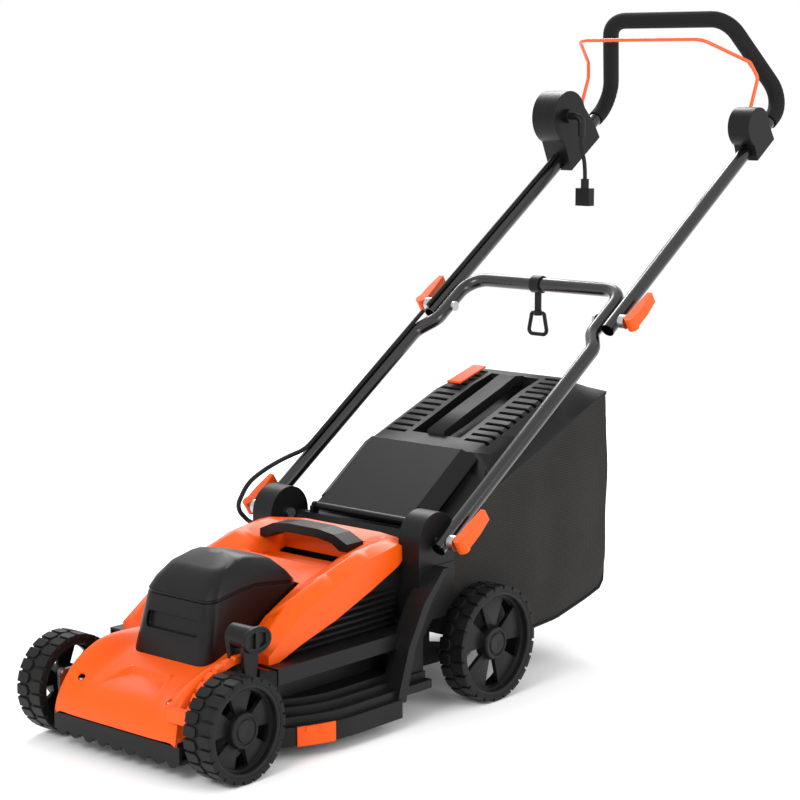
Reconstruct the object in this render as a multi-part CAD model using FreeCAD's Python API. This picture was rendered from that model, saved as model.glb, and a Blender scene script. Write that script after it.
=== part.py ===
import FreeCAD, Part
import math
import os

# Electric rotary lawn mower, millimetres.  The front of the machine points to -Y, the operator
# stands at +Y, +X is the operator's left and +Z is up.  Everything is laid out from the front
# wheels' axle line (Y = 0) on the ground (Z = 0) at the lowest cutting height, and export()
# moves it so that the origin is under the middle of the machine.

V = FreeCAD.Vector

# ---- driving dimensions -------------------------------------------------------------------
blade_length = 340.0        # tip to tip
tip_clearance = 15.0        # blade tip to the inside of the deck
wall = 3.0                  # moulded deck and cover wall
tunnel_run = 292.0          # blade spindle to rear axle line
front_wheel_d = 140.0
front_wheel_width = 47.0
rear_wheel_d = 170.0
rear_wheel_width = 42.0
axle_d = 12.0               # steel axle rod
height_travel = 40.0        # lowest to highest cutting height
crank_angle = 60.0          # swing of each axle crank over that travel
skirt_bottom = 18.0         # deck rim above ground at the lowest setting
tube_d = 22.0               # handle tube
tube_wall = 1.5
handle_angle = 34.2         # handle above horizontal
leg_inset = 12.0            # handle leg axis inside the deck's side
pivot_back = 93.0           # hub pivot ahead of the rear axle line
pivot_z = 248.0
lower_reach = 560.0         # pivot to the cross bar, along the leg
joint_reach = 490.0         # pivot to the mid joint, along the leg
upper_start = 467.0         # pivot to the upper leg's lower end
upper_reach = 1069.0        # pivot to the first bend of the grip
grip_rise = 136.0           # first bend to the top bar
grip_forward = 88.0
grip_half_width = 117.0
foam_thickness = 3.0
bolt_d = 8.0                # handle bolts
spindle_d = 12.0
shaft_d = 8.0               # motor shaft
running = 0.05              # radial clearance of a shaft in its bore
belt_ratio = 4.0            # driven pulley over motor pulley
motor_pulley_r = 10.5
bail_d = 6.0
cable_d = 7.0
lead_d = 7.0

# ---- derived places -----------------------------------------------------------------------
deck_r = blade_length / 2 + tip_clearance + wall
blade_y = deck_r + 17.0
motor_y = blade_y - 75.0
rear_y = blade_y + tunnel_run
wheelbase = rear_y
straight_end = rear_y - 197.0          # where the low band of the skirt stops
deck_back = rear_y - 125.0             # back of the cutting chamber
exit_y = rear_y - 65.0                 # mouth of the grass tunnel
front_r = front_wheel_d / 2
rear_r = rear_wheel_d / 2
front_out = deck_r - 1.0               # outer faces of the wheels
front_in = front_out - front_wheel_width
rear_out = deck_r + 13.0
rear_in = rear_out - rear_wheel_width
crank = height_travel / 2 / math.sin(math.radians(crank_angle / 2))
crank_back = crank * math.cos(math.radians(crank_angle / 2))
front_pivot = (-crank_back, front_r - height_travel / 2)
rear_pivot = (rear_y - crank_back, rear_r - height_travel / 2)
pivot_y = rear_y - pivot_back
along = (math.cos(math.radians(handle_angle)), math.sin(math.radians(handle_angle)))
tube_r = tube_d / 2
handle_x = deck_r - leg_inset
foam_r = tube_r + foam_thickness
cheek_x = front_in - 30.0              # outer face of the deck's front cheeks
front_arm_x = front_in - 14.0          # inner face of the front crank arms
rear_arm_x = rear_in - 7.0
arm_t = 5.0
box_half = rear_arm_x - 9.0            # half width of the grass box
rod_d = 5.0
mirror_plane = V(1, 0, 0)


# ---- small shape tools --------------------------------------------------------------------
def box(x0, x1, y0, y1, z0, z1):
    return Part.makeBox(x1 - x0, y1 - y0, z1 - z0, V(x0, y0, z0))


def rod(start, end, radius):
    start, end = V(*start), V(*end)
    return Part.makeCylinder(radius, (end - start).Length, start, end - start)


def rod_x(x0, x1, yz, radius):
    return Part.makeCylinder(radius, x1 - x0, V(x0, yz[0], yz[1]), V(1, 0, 0))


def disc_z(centre, radius, z0, z1):
    return Part.makeCylinder(radius, z1 - z0, V(centre[0], centre[1], z0), V(0, 0, 1))


def ring_x(x0, x1, yz, outer, inner):
    return rod_x(x0, x1, yz, outer).cut(rod_x(x0 - 1, x1 + 1, yz, inner))


def ring_z(centre, outer, inner, z0, z1):
    return disc_z(centre, outer, z0, z1).cut(disc_z(centre, inner, z0 - 1, z1 + 1))


def face_of(points):
    return Part.Face(Part.makePolygon(points + [points[0]]))


def prism_x(outline, x0, x1):
    return face_of([V(x0, y, z) for y, z in outline]).extrude(V(x1 - x0, 0, 0))


def prism_y(outline, y0, y1):
    return face_of([V(x, y0, z) for x, z in outline]).extrude(V(0, y1 - y0, 0))


def prism_z(outline, z0, z1):
    return face_of([V(x, y, z0) for x, y in outline]).extrude(V(0, 0, z1 - z0))


def fuse(*shapes):
    return shapes[0].multiFuse(list(shapes[1:])).removeSplitter()


def mirrored(shape):
    return shape.mirror(V(0, 0, 0), mirror_plane)


def both(shape):
    return Part.makeCompound([shape, mirrored(shape)])


def hull_x(yz_a, r_a, yz_b, r_b, x0, x1):
    """Bar with round ends: two discs and the straight sides that touch both."""
    dy, dz = yz_b[0] - yz_a[0], yz_b[1] - yz_a[1]
    reach = math.hypot(dy, dz)
    base = math.atan2(dz, dy)
    lean = math.acos((r_a - r_b) / reach)
    sides = []
    for sign in (1, -1):
        a = base + sign * lean
        out = (math.cos(a), math.sin(a))
        sides.append([(yz_a[0] + r_a * out[0], yz_a[1] + r_a * out[1]),
                      (yz_b[0] + r_b * out[0], yz_b[1] + r_b * out[1])])
    outline = [sides[0][0], sides[0][1], sides[1][1], sides[1][0]]
    return fuse(prism_x(outline, x0, x1), rod_x(x0, x1, yz_a, r_a), rod_x(x0, x1, yz_b, r_b))


def path_wire(points, radii):
    """Straight runs joined by tangent arcs; radii has one value for each inner point."""
    points = [V(*p) for p in points]
    edges = []
    here = points[0]
    for i in range(1, len(points) - 1):
        a = (points[i - 1] - points[i]).normalize()
        b = (points[i + 1] - points[i]).normalize()
        half = a.getAngle(b) / 2
        cut_back = radii[i - 1] / math.tan(half)
        start, end = points[i] + a * cut_back, points[i] + b * cut_back
        middle = points[i] + (a + b).normalize() * (radii[i - 1] / math.sin(half) - radii[i - 1])
        if (start - here).Length > 1e-6:
            edges.append(Part.LineSegment(here, start).toShape())
        edges.append(Part.Arc(start, middle, end).toShape())
        here = end
    edges.append(Part.LineSegment(here, points[-1]).toShape())
    return Part.Wire(edges)


def tube(points, radii, outer, inner=0.0):
    wire = path_wire(points, radii)
    start = V(*points[0])
    direction = V(*points[1]) - start

    def sweep(radius):
        profile = Part.Wire(Part.makeCircle(radius, start, direction))
        return wire.makePipeShell([profile], True, False)

    return sweep(outer).cut(sweep(inner)) if inner else sweep(outer)


def soft_radii(points):
    """Each arc of a cord is as large as its two runs allow."""
    points = [V(*p) for p in points]
    radii = []
    for a, b, c in zip(points, points[1:], points[2:]):
        turn = (b - a).getAngle(c - b)
        radii.append(0.45 * min((b - a).Length, (c - b).Length) / math.tan(turn / 2))
    return radii


def loft(sections):
    wires = [Part.makePolygon([V(*p) for p in s] + [V(*s[0])]) for s in sections]
    return Part.makeLoft(wires, True, True)


def on_leg(t, n=0.0, x=handle_x):
    """Point t along the handle leg from the hub pivot and n above it."""
    return (x, pivot_y + t * along[0] - n * along[1], pivot_z + t * along[1] + n * along[0])


def leg_outline(points):
    return [on_leg(t, n)[1:] for t, n in points]


# The nodes are collected here and written at the end.
nodes = {}

# ---- deck: cutting chamber, front frame, grass tunnel, side walls and ledges ----------------
tiers = ((0.0, skirt_bottom, 44.0, straight_end), (8.0, 44.0, 56.0, deck_back),
         (20.0, 56.0, 66.0, deck_back), (32.0, 66.0, 74.0, deck_back), (70.0, 74.0, 84.0, deck_back))
plate_top = tiers[-1][2]


def chamber_plan(radius, back, z0, z1):
    front = disc_z((0, blade_y), radius, z0, z1)
    return fuse(front, box(-radius, radius, blade_y, back, z0, z1))


deck_outer = fuse(*[chamber_plan(deck_r - inset, back, z0, z1) for inset, z0, z1, back in tiers])
deck_inner = fuse(*[chamber_plan(deck_r - inset - wall, back - wall, z0 - wall - 1, z1 - wall)
                    for inset, z0, z1, back in tiers])
tunnel_x = deck_r - 63.0
tunnel_mouth = (84.0, pivot_z + 2.0)
tunnel_outer = prism_x([(deck_back - 117, 78), (deck_back - 42, 123), (exit_y - 40, 207),
                        (exit_y - 14, tunnel_mouth[1]), (exit_y, tunnel_mouth[1]),
                        (exit_y, tunnel_mouth[0]), (deck_back, 44), (straight_end, 44)],
                       -tunnel_x, tunnel_x)
tunnel_inner = prism_x([(deck_back - 112, 70), (deck_back - 40, 116), (exit_y - 36, 203),
                        (exit_y - 11, tunnel_mouth[1] - wall - 1), (exit_y + 9, tunnel_mouth[1] - wall - 1),
                        (exit_y + 9, tunnel_mouth[0] + 10), (deck_back, 48), (straight_end, 48)],
                       -tunnel_x + wall, tunnel_x - wall)
cheek = prism_x([(-54, 22), (70, 22), (70, 97), (-30, 97), (-54, 60)], cheek_x - wall, cheek_x)
front_top = box(-cheek_x, cheek_x, -30, blade_y - 100, 94, 97)
front_riser = box(-cheek_x, cheek_x, 66, 69, 60, 97)
side_wall = prism_x([(84, 66), (deck_back, 66), (deck_back, 222), (deck_back - 17, 214), (85, 136)],
                    tunnel_x - wall, tunnel_x)
ledge_x = deck_r - 24.0
ledge = fuse(box(tunnel_x - 1, ledge_x, 80, deck_back - 8, 127, 130),
             box(ledge_x - wall, ledge_x, 80, deck_back - 8, 108, 130),
             *[box(tunnel_x - 1, ledge_x - 1, y, y + 2.5, 112, 128) for y in (120, 180, 240, 300)])
column = box(tunnel_x - 1, ledge_x, pivot_y - 40, pivot_y + 36, 135, 212).cut(
    box(tunnel_x + 2, ledge_x - wall, pivot_y - 37, pivot_y + 33, 120, 209))
outrigger = prism_x([(straight_end - 8, 38), (straight_end - 2, 60), (straight_end + 16, 112),
                     (straight_end + 48, 169), (pivot_y - 14, 212), (pivot_y - 2, 212),
                     (straight_end + 62, 166), (straight_end + 30, 110), (straight_end + 10, 38)],
                    tunnel_x + 28, deck_r - 2)
side_panel = prism_x([(straight_end + 6, 44), (straight_end + 20, 112), (straight_end + 52, 169),
                      (pivot_y - 12, 212), (pivot_y, 212), (pivot_y, 150), (deck_back, 112),
                      (deck_back, 50)], ledge_x - wall, ledge_x)
saddle = prism_x([(rear_pivot[0] - 70, 55), (exit_y - 20, 77), (exit_y, 86), (exit_y + 6, 86),
                  (rear_pivot[0] + 12, 78), (rear_pivot[0] + 12, 56), (rear_pivot[0] - 8, 52)],
                 tunnel_x - 9, tunnel_x - 3)
hinge_y, hinge_z = exit_y - 4.0, pivot_z + 12.0
hinge_ear = fuse(box(92, 98, exit_y - 13, exit_y, tunnel_mouth[1] - 6, hinge_z),
                 rod_x(92, 98, (hinge_y, hinge_z), 6.0))
deck = fuse(deck_outer, tunnel_outer, front_top, cheek, mirrored(cheek),
            side_wall, mirrored(side_wall), ledge, mirrored(ledge), column, mirrored(column),
            outrigger, mirrored(outrigger), side_panel, mirrored(side_panel),
            hinge_ear, mirrored(hinge_ear))
deck = deck.cut(deck_inner).cut(tunnel_inner)
front_riser = front_riser.cut(disc_z((0, blade_y), deck_r, 0, 120))
deck = fuse(deck, saddle, mirrored(saddle), front_riser)
lever_pivot = (40.0, front_r - height_travel / 2)
lever_post = rod_x(cheek_x - wall, cheek_x + 6, lever_pivot, 9.0)
deck = fuse(deck, lever_post)
deck = deck.cut(rod_x(-200, 200, front_pivot, axle_d / 2 + running))
deck = deck.cut(rod_x(-200, 200, rear_pivot, axle_d / 2 + running))
deck = deck.cut(rod_x(cheek_x - 8, cheek_x + 8, lever_pivot, 4.0))
spindle_hub_r = 22.0
deck = deck.cut(disc_z((0, blade_y), spindle_hub_r, 60, 100))
deck = deck.cut(rod_x(-103, 103, (hinge_y, hinge_z), 2.5))
arch = hull_x((rear_y, rear_r), rear_r + 6, (rear_y, rear_r - height_travel), rear_r + 5.9, rear_in - 4, 260)
deck = deck.cut(arch).cut(mirrored(arch))
nodes["deck"] = deck

# ---- combs along the deck's front edge ------------------------------------------------------
comb_half = deck_r - 66.0
comb = box(-comb_half, comb_half, -59, -54.2, 26, 49)
comb_teeth = []
tooth_pitch = 2 * comb_half / 9
for i in range(9):
    x = -comb_half + (i + 0.5) * tooth_pitch
    comb_teeth.append(rod((x, -59, 30), (x, -34, 30), 10.5).cut(box(x - 12, x + 12, -60, -33, 30, 45)))
nodes["front_comb"] = fuse(comb, *comb_teeth).cut(deck)

comb_out = deck_r + 3.0
side_ring = ring_z((0, blade_y), comb_out, deck_r + 0.3, skirt_bottom, 45)
side_sector = prism_z([(0, blade_y), (260, 60), (260, 150)], 10, 60)
side_comb = side_ring.common(side_sector).cut(box(0, 300, -300, 81, 0, 100))
for i in range(6):
    angle = math.radians(-52 + 6.5 * i)
    centre = ((comb_out + 1) * math.cos(angle), blade_y + (comb_out + 1) * math.sin(angle))
    side_comb = side_comb.cut(disc_z(centre, 2.2, 38, 60))
nodes["side_combs"] = both(side_comb)

# ---- motor hood: a sloping shell that stands in the valley of the cowl -----------------------
def hood_form(inset, drop):
    m = motor_y
    side = prism_x([(m - 94 + inset, 112 - drop), (m - 73 + inset, 211),
                    (m - 51 + inset / 2, 226 - inset / 2), (m + 3, 262 - inset),
                    (m + 61 - inset / 2, 242 - inset), (m + 76 - inset, 218),
                    (m + 104 - inset, 196), (m + 104 - inset, 180 - drop)], -90, 90)
    front = prism_y([(-76 + inset, 90), (-75 + inset, 150), (-63 + inset, 205), (-52 + inset, 232),
                     (-46 + inset, 262), (46 - inset, 262), (52 - inset, 232), (63 - inset, 205),
                     (75 - inset, 150), (76 - inset, 90)], 0, m + 130)
    plan = prism_z([(-66 + inset, m - 110), (66 - inset, m - 110), (76 - inset, m - 60),
                    (76 - inset, m + 60), (60 - inset, m + 120), (-60 + inset, m + 120),
                    (-76 + inset, m + 60), (-76 + inset, m - 60)], 60, 300)
    return side.common(front).common(plan)


hood_shell = 2.5
hood = hood_form(0.0, 0.0).cut(hood_form(hood_shell, 10.0))
nodes["motor_hood"] = hood

# ---- cowl: nose, side shoulders and the scooped tail under the carry handle -----------------
nose_half = cheek_x + 8.0


def nose_section(y, half, low, side, shoulder, top):
    return [(-half, y, low), (-half, y, side), (-shoulder, y, top), (shoulder, y, top), (half, y, side),
            (half, y, low)]


def nose_form(t):
    low = 49.5 - 3 * t
    slim = cheek_x + 3.0 - t
    stations = ((-62 + t, nose_half - t, 60, 108 - t, 70), (-54 + t, nose_half - t, 76, 104 - t, 92 - t),
                (-36, slim, 88, 100 - t, 106 - t), (0, slim, 108 - t, 96 - t, 120 - t),
                (34, slim, 122 - t, 96 - t, 130 - t), (90, slim, 140 - t, 96 - t, 149 - t))
    return loft([nose_section(y, half, low, side, shoulder, top)
                 for y, half, side, shoulder, top in stations])


def tail_form(t):
    stations = ((84 + t, tunnel_x + 17, 133, 166, 182, 147),
                (motor_y + 20, tunnel_x + 16, 146, 187, 204, 173),
                (motor_y + 88, tunnel_x + 15, 165, 211, 226, 200),
                (motor_y + 160, tunnel_x + 13, 191, 236, 246, 228),
                (deck_back - 22, tunnel_x + 10, 214, 246, 252, 243),
                (deck_back + 12 + t, tunnel_x + 2, 229, 236, 247, 250))
    sections = []
    for y, half, low, side, crest, middle in stations:
        low = low - 6 * t
        side, crest, middle = side - t, crest - t, middle - t
        half = half - t
        crest_x, middle_x = half - 22, 72 - t
        sections.append([(-half, y, low), (-half, y, side), (-crest_x, y, crest), (-middle_x, y, middle),
                         (middle_x, y, middle), (crest_x, y, crest), (half, y, side), (half, y, low)])
    return loft(sections)


pocket_x, pocket_y0, pocket_y1, pocket_floor = 80.0, deck_back - 104.0, deck_back - 25.0, 208.0
tub = box(-pocket_x - 3, pocket_x + 3, pocket_y0 - 3, pocket_y1 + 3, pocket_floor - 3, 243)
tub = tub.common(tail_form(0.0))
pocket = box(-pocket_x, pocket_x, pocket_y0, pocket_y1, pocket_floor, 300)
cowl_wall = 3.0
nose = nose_form(0.0).cut(nose_form(cowl_wall)).cut(box(-200, 200, 84, 200, 0, 300))
cowl = fuse(nose, tail_form(0.0).cut(tail_form(cowl_wall)))
cowl = fuse(cowl, tub).cut(pocket).cut(hood_form(-0.4, 0.0))
cowl = cowl.cut(box(-200, 200, front_pivot[0] - 12, 84, 0, front_pivot[1] + 12))
valley = [(motor_y - 102, 90), (motor_y - 102, 126), (motor_y + 110, 206), (motor_y + 110, 90)]
cowl = cowl.cut(prism_x(valley, -74, 74))
cowl = cowl.cut(deck)
cowl = max(cowl.Solids, key=lambda s: s.Volume)
nodes["cowl"] = cowl

grip_y0, grip_y1 = deck_back - 72.0, deck_back - 38.0
grip_bar = prism_y([(-85, 236), (-85, 247), (-60, 258), (-30, 262), (30, 262), (60, 258), (85, 247),
                    (85, 236), (70, 236), (56, 245), (28, 249), (-28, 249), (-56, 245), (-70, 236)],
                   grip_y0, grip_y1)
nodes["carry_grip"] = max(grip_bar.cut(cowl).Solids, key=lambda s: s.Volume)

screw_places = [(86, -40.0, 112.0), (-86, -40.0, 112.0), (96, deck_back - 8, 262.0),
                (-96, deck_back - 8, 262.0)]
screws = []
for x, y, z in screw_places:
    head_z = z - 14
    screws.append(rod((x, y, head_z - 24), (x, y, head_z - 4), 2.0).fuse(
        rod((x, y, head_z - 4), (x, y, head_z), 4.0)))
screw_holes = [rod((x, y, z - 60), (x, y, z + 20), 4.0) for x, y, z in screw_places]

# ---- height adjustment: track, lever, cranked axles and the link rod -------------------------
track_r0, track_r1 = 92.0, 102.0
track_x0, track_x1 = front_in - 13.5, front_in - 4.5
track = ring_x(track_x0, track_x1, lever_pivot, track_r1, track_r0)
track = track.common(prism_x([lever_pivot, (lever_pivot[0] + 34, 200), (-100, 200), (-130, 108)],
                             track_x0, track_x1))
for i in range(6):
    angle = math.radians(97 + 10 * i)
    notch = (lever_pivot[0] + track_r1 * math.cos(angle), lever_pivot[1] + track_r1 * math.sin(angle))
    track = track.cut(rod_x(track_x0 - 1, track_x1 + 1, notch, 3.2))
track_toe = box(cheek_x - 10, track_x1, -60, -50, 80, 99)
track_heel = box(cheek_x - 10, track_x1, 56, 66, 126, 149)
track = fuse(track, track_toe, track_heel).cut(cowl)
nodes["height_track"] = max(track.Solids, key=lambda s: s.Volume)

lever_x0, lever_x1 = cheek_x + 7.0, cheek_x + 15.0
knob_yz = (45.0, 176.0)
lever_throw = 2 * math.degrees(math.asin(height_travel / 2 / math.hypot(lever_pivot[0], height_travel / 2)))
lever = fuse(hull_x(lever_pivot, 13.0, (lever_pivot[0] + 3, 140.0), 10.0, lever_x0, lever_x1),
             hull_x(lever_pivot, 13.0, (-4.0, 66.0), 13.5, lever_x0, lever_x1),
             hull_x((lever_pivot[0] + 3, 150.0), 10.0, knob_yz, 16.0, lever_x0, lever_x1),
             rod_x(lever_x0, front_in + 17, knob_yz, 16.0))
slot_points = []
for step in range(5):
    swing = math.radians(crank_angle / 2 - crank_angle * step / 4)
    axle = (front_pivot[0] + crank * math.cos(swing), front_pivot[1] + crank * math.sin(swing))
    back = -math.radians(lever_throw * step / 4)
    dy, dz = axle[0] - lever_pivot[0], axle[1] - lever_pivot[1]
    slot_points.append((lever_pivot[0] + dy * math.cos(back) - dz * math.sin(back),
                        lever_pivot[1] + dy * math.sin(back) + dz * math.cos(back)))
slot = [rod_x(lever_x0 - 1, lever_x1 + 1, p, axle_d / 2 + 0.6) for p in slot_points]
slot += [hull_x(a, axle_d / 2 + 0.6, b, axle_d / 2 + 0.59, lever_x0 - 1, lever_x1 + 1)
         for a, b in zip(slot_points, slot_points[1:]) if math.dist(a, b) > 0.3]
lever = lever.cut(fuse(*slot)).cut(rod_x(0, 200, lever_pivot, 4.0 + running))
nodes["height_lever"] = max(lever.Solids, key=lambda s: s.Volume)
nodes["lever_knob"] = rod_x(front_in + 17, front_in + 22, knob_yz, 18.0)
lever_bolt = rod_x(cheek_x - 7, lever_x1 + 0.6, lever_pivot, 4.0).fuse(
    rod_x(lever_x1 + 0.6, lever_x1 + 4, lever_pivot, 7.0))
screws.append(lever_bolt)
nodes["screws"] = Part.makeCompound(screws)
nodes["cowl"] = nodes["cowl"].cut(fuse(*screw_holes))
nodes["deck"] = nodes["deck"].cut(fuse(*[rod((x, y, z - 60), (x, y, z), 2.0) for x, y, z in screw_places]))


def cranked_axle(pivot, wheel_yz, arm_x, out_x, pin_side_x, horn_lean, horn_length):
    """Pivot bar, two crank arms, two wheel stubs, and a horn for the link rod at -X."""
    pieces = [rod_x(-arm_x - 1, arm_x + 1, pivot, axle_d / 2)]
    arm = hull_x(pivot, 11.0, wheel_yz, 11.0, arm_x, arm_x + arm_t)
    stub = rod_x(arm_x + 1, out_x, wheel_yz, axle_d / 2)
    pieces += [arm, mirrored(arm), stub, mirrored(stub)]
    tip = (pivot[0] + horn_length * math.sin(horn_lean), pivot[1] + horn_length * math.cos(horn_lean))
    pieces.append(hull_x(pivot, 9.0, tip, 6.0, -arm_x - arm_t, -arm_x))
    if pin_side_x:
        pieces.append(rod_x(pin_side_x, arm_x + 1, wheel_yz, axle_d / 2))
    return fuse(*pieces), tip


horn_lean, horn_length = math.radians(-5.0), 48.0
link_hole = rod_d / 2 + running
front_wheel_yz, rear_wheel_yz = (0.0, front_r), (rear_y, rear_r)
front_axle, front_pin = cranked_axle(front_pivot, front_wheel_yz, front_arm_x, front_out - 4,
                                     lever_x0 - 2, horn_lean, horn_length)
rear_axle, rear_pin = cranked_axle(rear_pivot, rear_wheel_yz, rear_arm_x, rear_out - 4, 0, horn_lean,
                                   horn_length)
nodes["front_axle"] = front_axle.cut(rod_x(-200, 0, front_pin, link_hole))
nodes["rear_axle"] = rear_axle.cut(rod_x(-200, 0, rear_pin, rod_d / 2 + 1.0))
link_front_x = -(front_arm_x + arm_t + 3.2)
link_rear_x = -(rear_arm_x - 3.6)
link_mid_a = (link_front_x, 92.0, front_pin[1] + 92.0 * (rear_pin[1] - front_pin[1]) / wheelbase)
link_mid_b = (link_rear_x, 150.0, front_pin[1] + 150.0 * (rear_pin[1] - front_pin[1]) / wheelbase)
link_points = [(-front_arm_x + 2, front_pin[0], front_pin[1]), (link_front_x, front_pin[0], front_pin[1]),
               link_mid_a, link_mid_b, (link_rear_x, rear_pin[0], rear_pin[1]),
               (-rear_arm_x - arm_t - 1.5, rear_pin[0], rear_pin[1])]
nodes["link_rod"] = tube(link_points, [3.0, 20.0, 20.0, 3.0], rod_d / 2)


# ---- wheels ----------------------------------------------------------------------------------
def wheel(name, side, x_in, x_out, yz, radius):
    lip = radius - 9.5
    tyre = ring_x(x_in, x_out, yz, radius, lip)
    bevel = ring_x(x_in - 1, x_out + 1, yz, radius + 6, radius - 1.5)
    tyre = tyre.cut(bevel.cut(ring_x(x_in + 3, x_out - 3, yz, radius + 7, radius - 3)))
    rim = ring_x(x_in + 1, x_out - 1, yz, lip, lip - 5)
    web = ring_x(x_out - 20, x_out - 11, yz, lip - 4, 10.0)
    for spoke in range(5):
        a = math.radians(90 + 36 + 72 * spoke)
        centre = (yz[0] + (lip - 21) * math.cos(a), yz[1] + (lip - 21) * math.sin(a))
        web = web.cut(rod_x(x_out - 30, x_out, centre, 10.0 + (radius - 70) * 0.2))
    hub = rod_x(x_in + 3, x_out - 7, yz, 13.0)
    cap = rod_x(x_out - 8, x_out - 2.5, yz, 23.0)
    rim = fuse(rim, web, hub, cap)
    rim = rim.cut(rod_x(x_in - 1, x_out - 3.4, yz, axle_d / 2 + running))
    if side < 0:
        tyre, rim = mirrored(tyre), mirrored(rim)
    nodes[name + "_tyre"] = tyre
    nodes[name + "_rim"] = rim


for side, word in ((1, "left"), (-1, "right")):
    wheel("front_" + word, side, front_in, front_out, front_wheel_yz, front_r)
    wheel("rear_" + word, side, rear_in, rear_out, rear_wheel_yz, rear_r)

# ---- drive: motor on the belt cover, belt, spindle and blade ---------------------------------
driven_r = motor_pulley_r * belt_ratio
belt_t = 3.0
motor_xy, spindle_xy = (0.0, motor_y), (0.0, blade_y)


def belt_plan(r_motor, r_driven, z0, z1):
    """Solid plan of the two pulleys and the tangent lines between them, extruded in Z."""
    lean = math.acos((r_driven - r_motor) / (blade_y - motor_y))
    right = [(r * math.sin(lean), y - r * math.cos(lean))
             for y, r in ((blade_y, r_driven), (motor_y, r_motor))]
    outline = right + [(-x, y) for x, y in reversed(right)]
    return fuse(prism_z(outline, z0, z1), disc_z(spindle_xy, r_driven, z0, z1),
                disc_z(motor_xy, r_motor, z0, z1))


nodes["drive_belt"] = belt_plan(motor_pulley_r + belt_t, driven_r + belt_t, 92, 101).cut(
    belt_plan(motor_pulley_r, driven_r, 91, 102))
cover_outer = belt_plan(40.0, driven_r + 8.5, plate_top, 110)
cover_inner = belt_plan(37.5, driven_r + 6.0, plate_top - 1, 107.5)
nodes["belt_cover"] = cover_outer.cut(cover_inner).cut(disc_z(motor_xy, 12.0, 100, 112)).cut(
    nodes["deck"])
bearing_r, bearing_t = 11.0, 7.0
base_floor = 110.0
motor_base = fuse(ring_z(motor_xy, 44.0, 41.0, base_floor, 148), ring_z(motor_xy, 42.0, 8.0, base_floor, 113),
                  ring_z(motor_xy, 14.0, bearing_r, base_floor, 122),
                  ring_z(motor_xy, 44.0, 34.0, 145, 148))
nodes["motor_base"] = motor_base
stator_z0, stator_z1 = 148.0, 196.0
poles = box(-36, 36, motor_y - 13, motor_y + 13, stator_z0, stator_z1)
stator = fuse(ring_z(motor_xy, 42.0, 35.0, stator_z0, stator_z1), poles).cut(
    disc_z(motor_xy, 23.6, stator_z0 - 1, stator_z1 + 1))


def field_coil(side):
    """Racetrack of wire round one pole."""
    outer = box(24.5, 33.5, motor_y - 22, motor_y + 22, stator_z0 - 2.5, stator_z1 + 7)
    inner = box(20, 36, motor_y - 13.2, motor_y + 13.2, stator_z0 - 0.2, stator_z1 + 0.2)
    coil = outer.cut(inner).common(disc_z(motor_xy, 33.8, 100, 240)).cut(disc_z(motor_xy, 24.4, 100, 240))
    return coil if side > 0 else mirrored(coil)


nodes["motor_stator"] = Part.makeCompound([stator, field_coil(1), field_coil(-1)])
frame_z = 222.0
brush_frame = fuse(ring_z(motor_xy, 42.0, 39.0, stator_z1, 206), ring_z(motor_xy, 42.0, 26.0, 204, 207),
                   ring_z(motor_xy, 29.0, 26.0, 205, frame_z),
                   ring_z(motor_xy, 28.0, bearing_r, frame_z - 8, frame_z),
                   box(-4, 4, motor_y + 15.2, motor_y + 27, 205.5, 212),
                   box(-4, 4, motor_y - 27, motor_y - 15.2, 205.5, 212))
nodes["brush_frame"] = brush_frame
spindle_bearing_r, spindle_bearing_t = 14.0, 8.0
bearings = [ring_z(motor_xy, bearing_r, shaft_d / 2 + running, base_floor + 4, base_floor + 4 + bearing_t),
            ring_z(motor_xy, bearing_r, shaft_d / 2 + running, frame_z - 8, frame_z - 8 + bearing_t),
            ring_z(spindle_xy, spindle_bearing_r, spindle_d / 2 + running, 52, 52 + spindle_bearing_t),
            ring_z(spindle_xy, spindle_bearing_r, spindle_d / 2 + running, 79, 79 + spindle_bearing_t)]
nodes["bearings"] = Part.makeCompound(bearings)
spindle_housing = fuse(disc_z(spindle_xy, spindle_hub_r, 50, 88), disc_z(spindle_xy, 34.0, plate_top, 88))
spindle_housing = spindle_housing.cut(disc_z(spindle_xy, 9.0, 40, 100)).cut(
    disc_z(spindle_xy, spindle_bearing_r, 52, 60)).cut(disc_z(spindle_xy, spindle_bearing_r, 79, 90)).cut(
    disc_z(spindle_xy, spindle_bearing_r, 40, 52.5))
nodes["spindle_housing"] = spindle_housing

armature = fuse(disc_z(motor_xy, shaft_d / 2, 88, frame_z - 1), disc_z(motor_xy, 23.0, 150, 194),
                disc_z(motor_xy, 14.8, 199, 211))
nodes["armature"] = armature
nodes["motor_pulley"] = fuse(ring_z(motor_xy, motor_pulley_r - 0.02, shaft_d / 2, 91.5, 101.5),
                             ring_z(motor_xy, motor_pulley_r + 4, shaft_d / 2, 89.5, 91.5),
                             ring_z(motor_xy, motor_pulley_r + 4, shaft_d / 2, 101.5, 103.5))
blade_z = 22.0
nodes["spindle"] = fuse(disc_z(spindle_xy, spindle_d / 2, blade_z + 4, 104),
                        disc_z(spindle_xy, 18.0, blade_z + 4, 46))
nodes["driven_pulley"] = fuse(ring_z(spindle_xy, driven_r - 0.02, driven_r - 5, 91.5, 101.5),
                              ring_z(spindle_xy, driven_r - 4, 16, 95, 98),
                              ring_z(spindle_xy, 17.0, spindle_d / 2, 90, 103))
half = blade_length / 2
blade = prism_z([(-half, blade_y - 22), (-60, blade_y - 26), (60, blade_y - 26), (half - 60, blade_y - 24),
                 (half, blade_y - 12), (half, blade_y + 22), (60, blade_y + 26), (-60, blade_y + 26),
                 (-half + 60, blade_y + 24), (-half, blade_y + 12)], blade_z, blade_z + 3)
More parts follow.
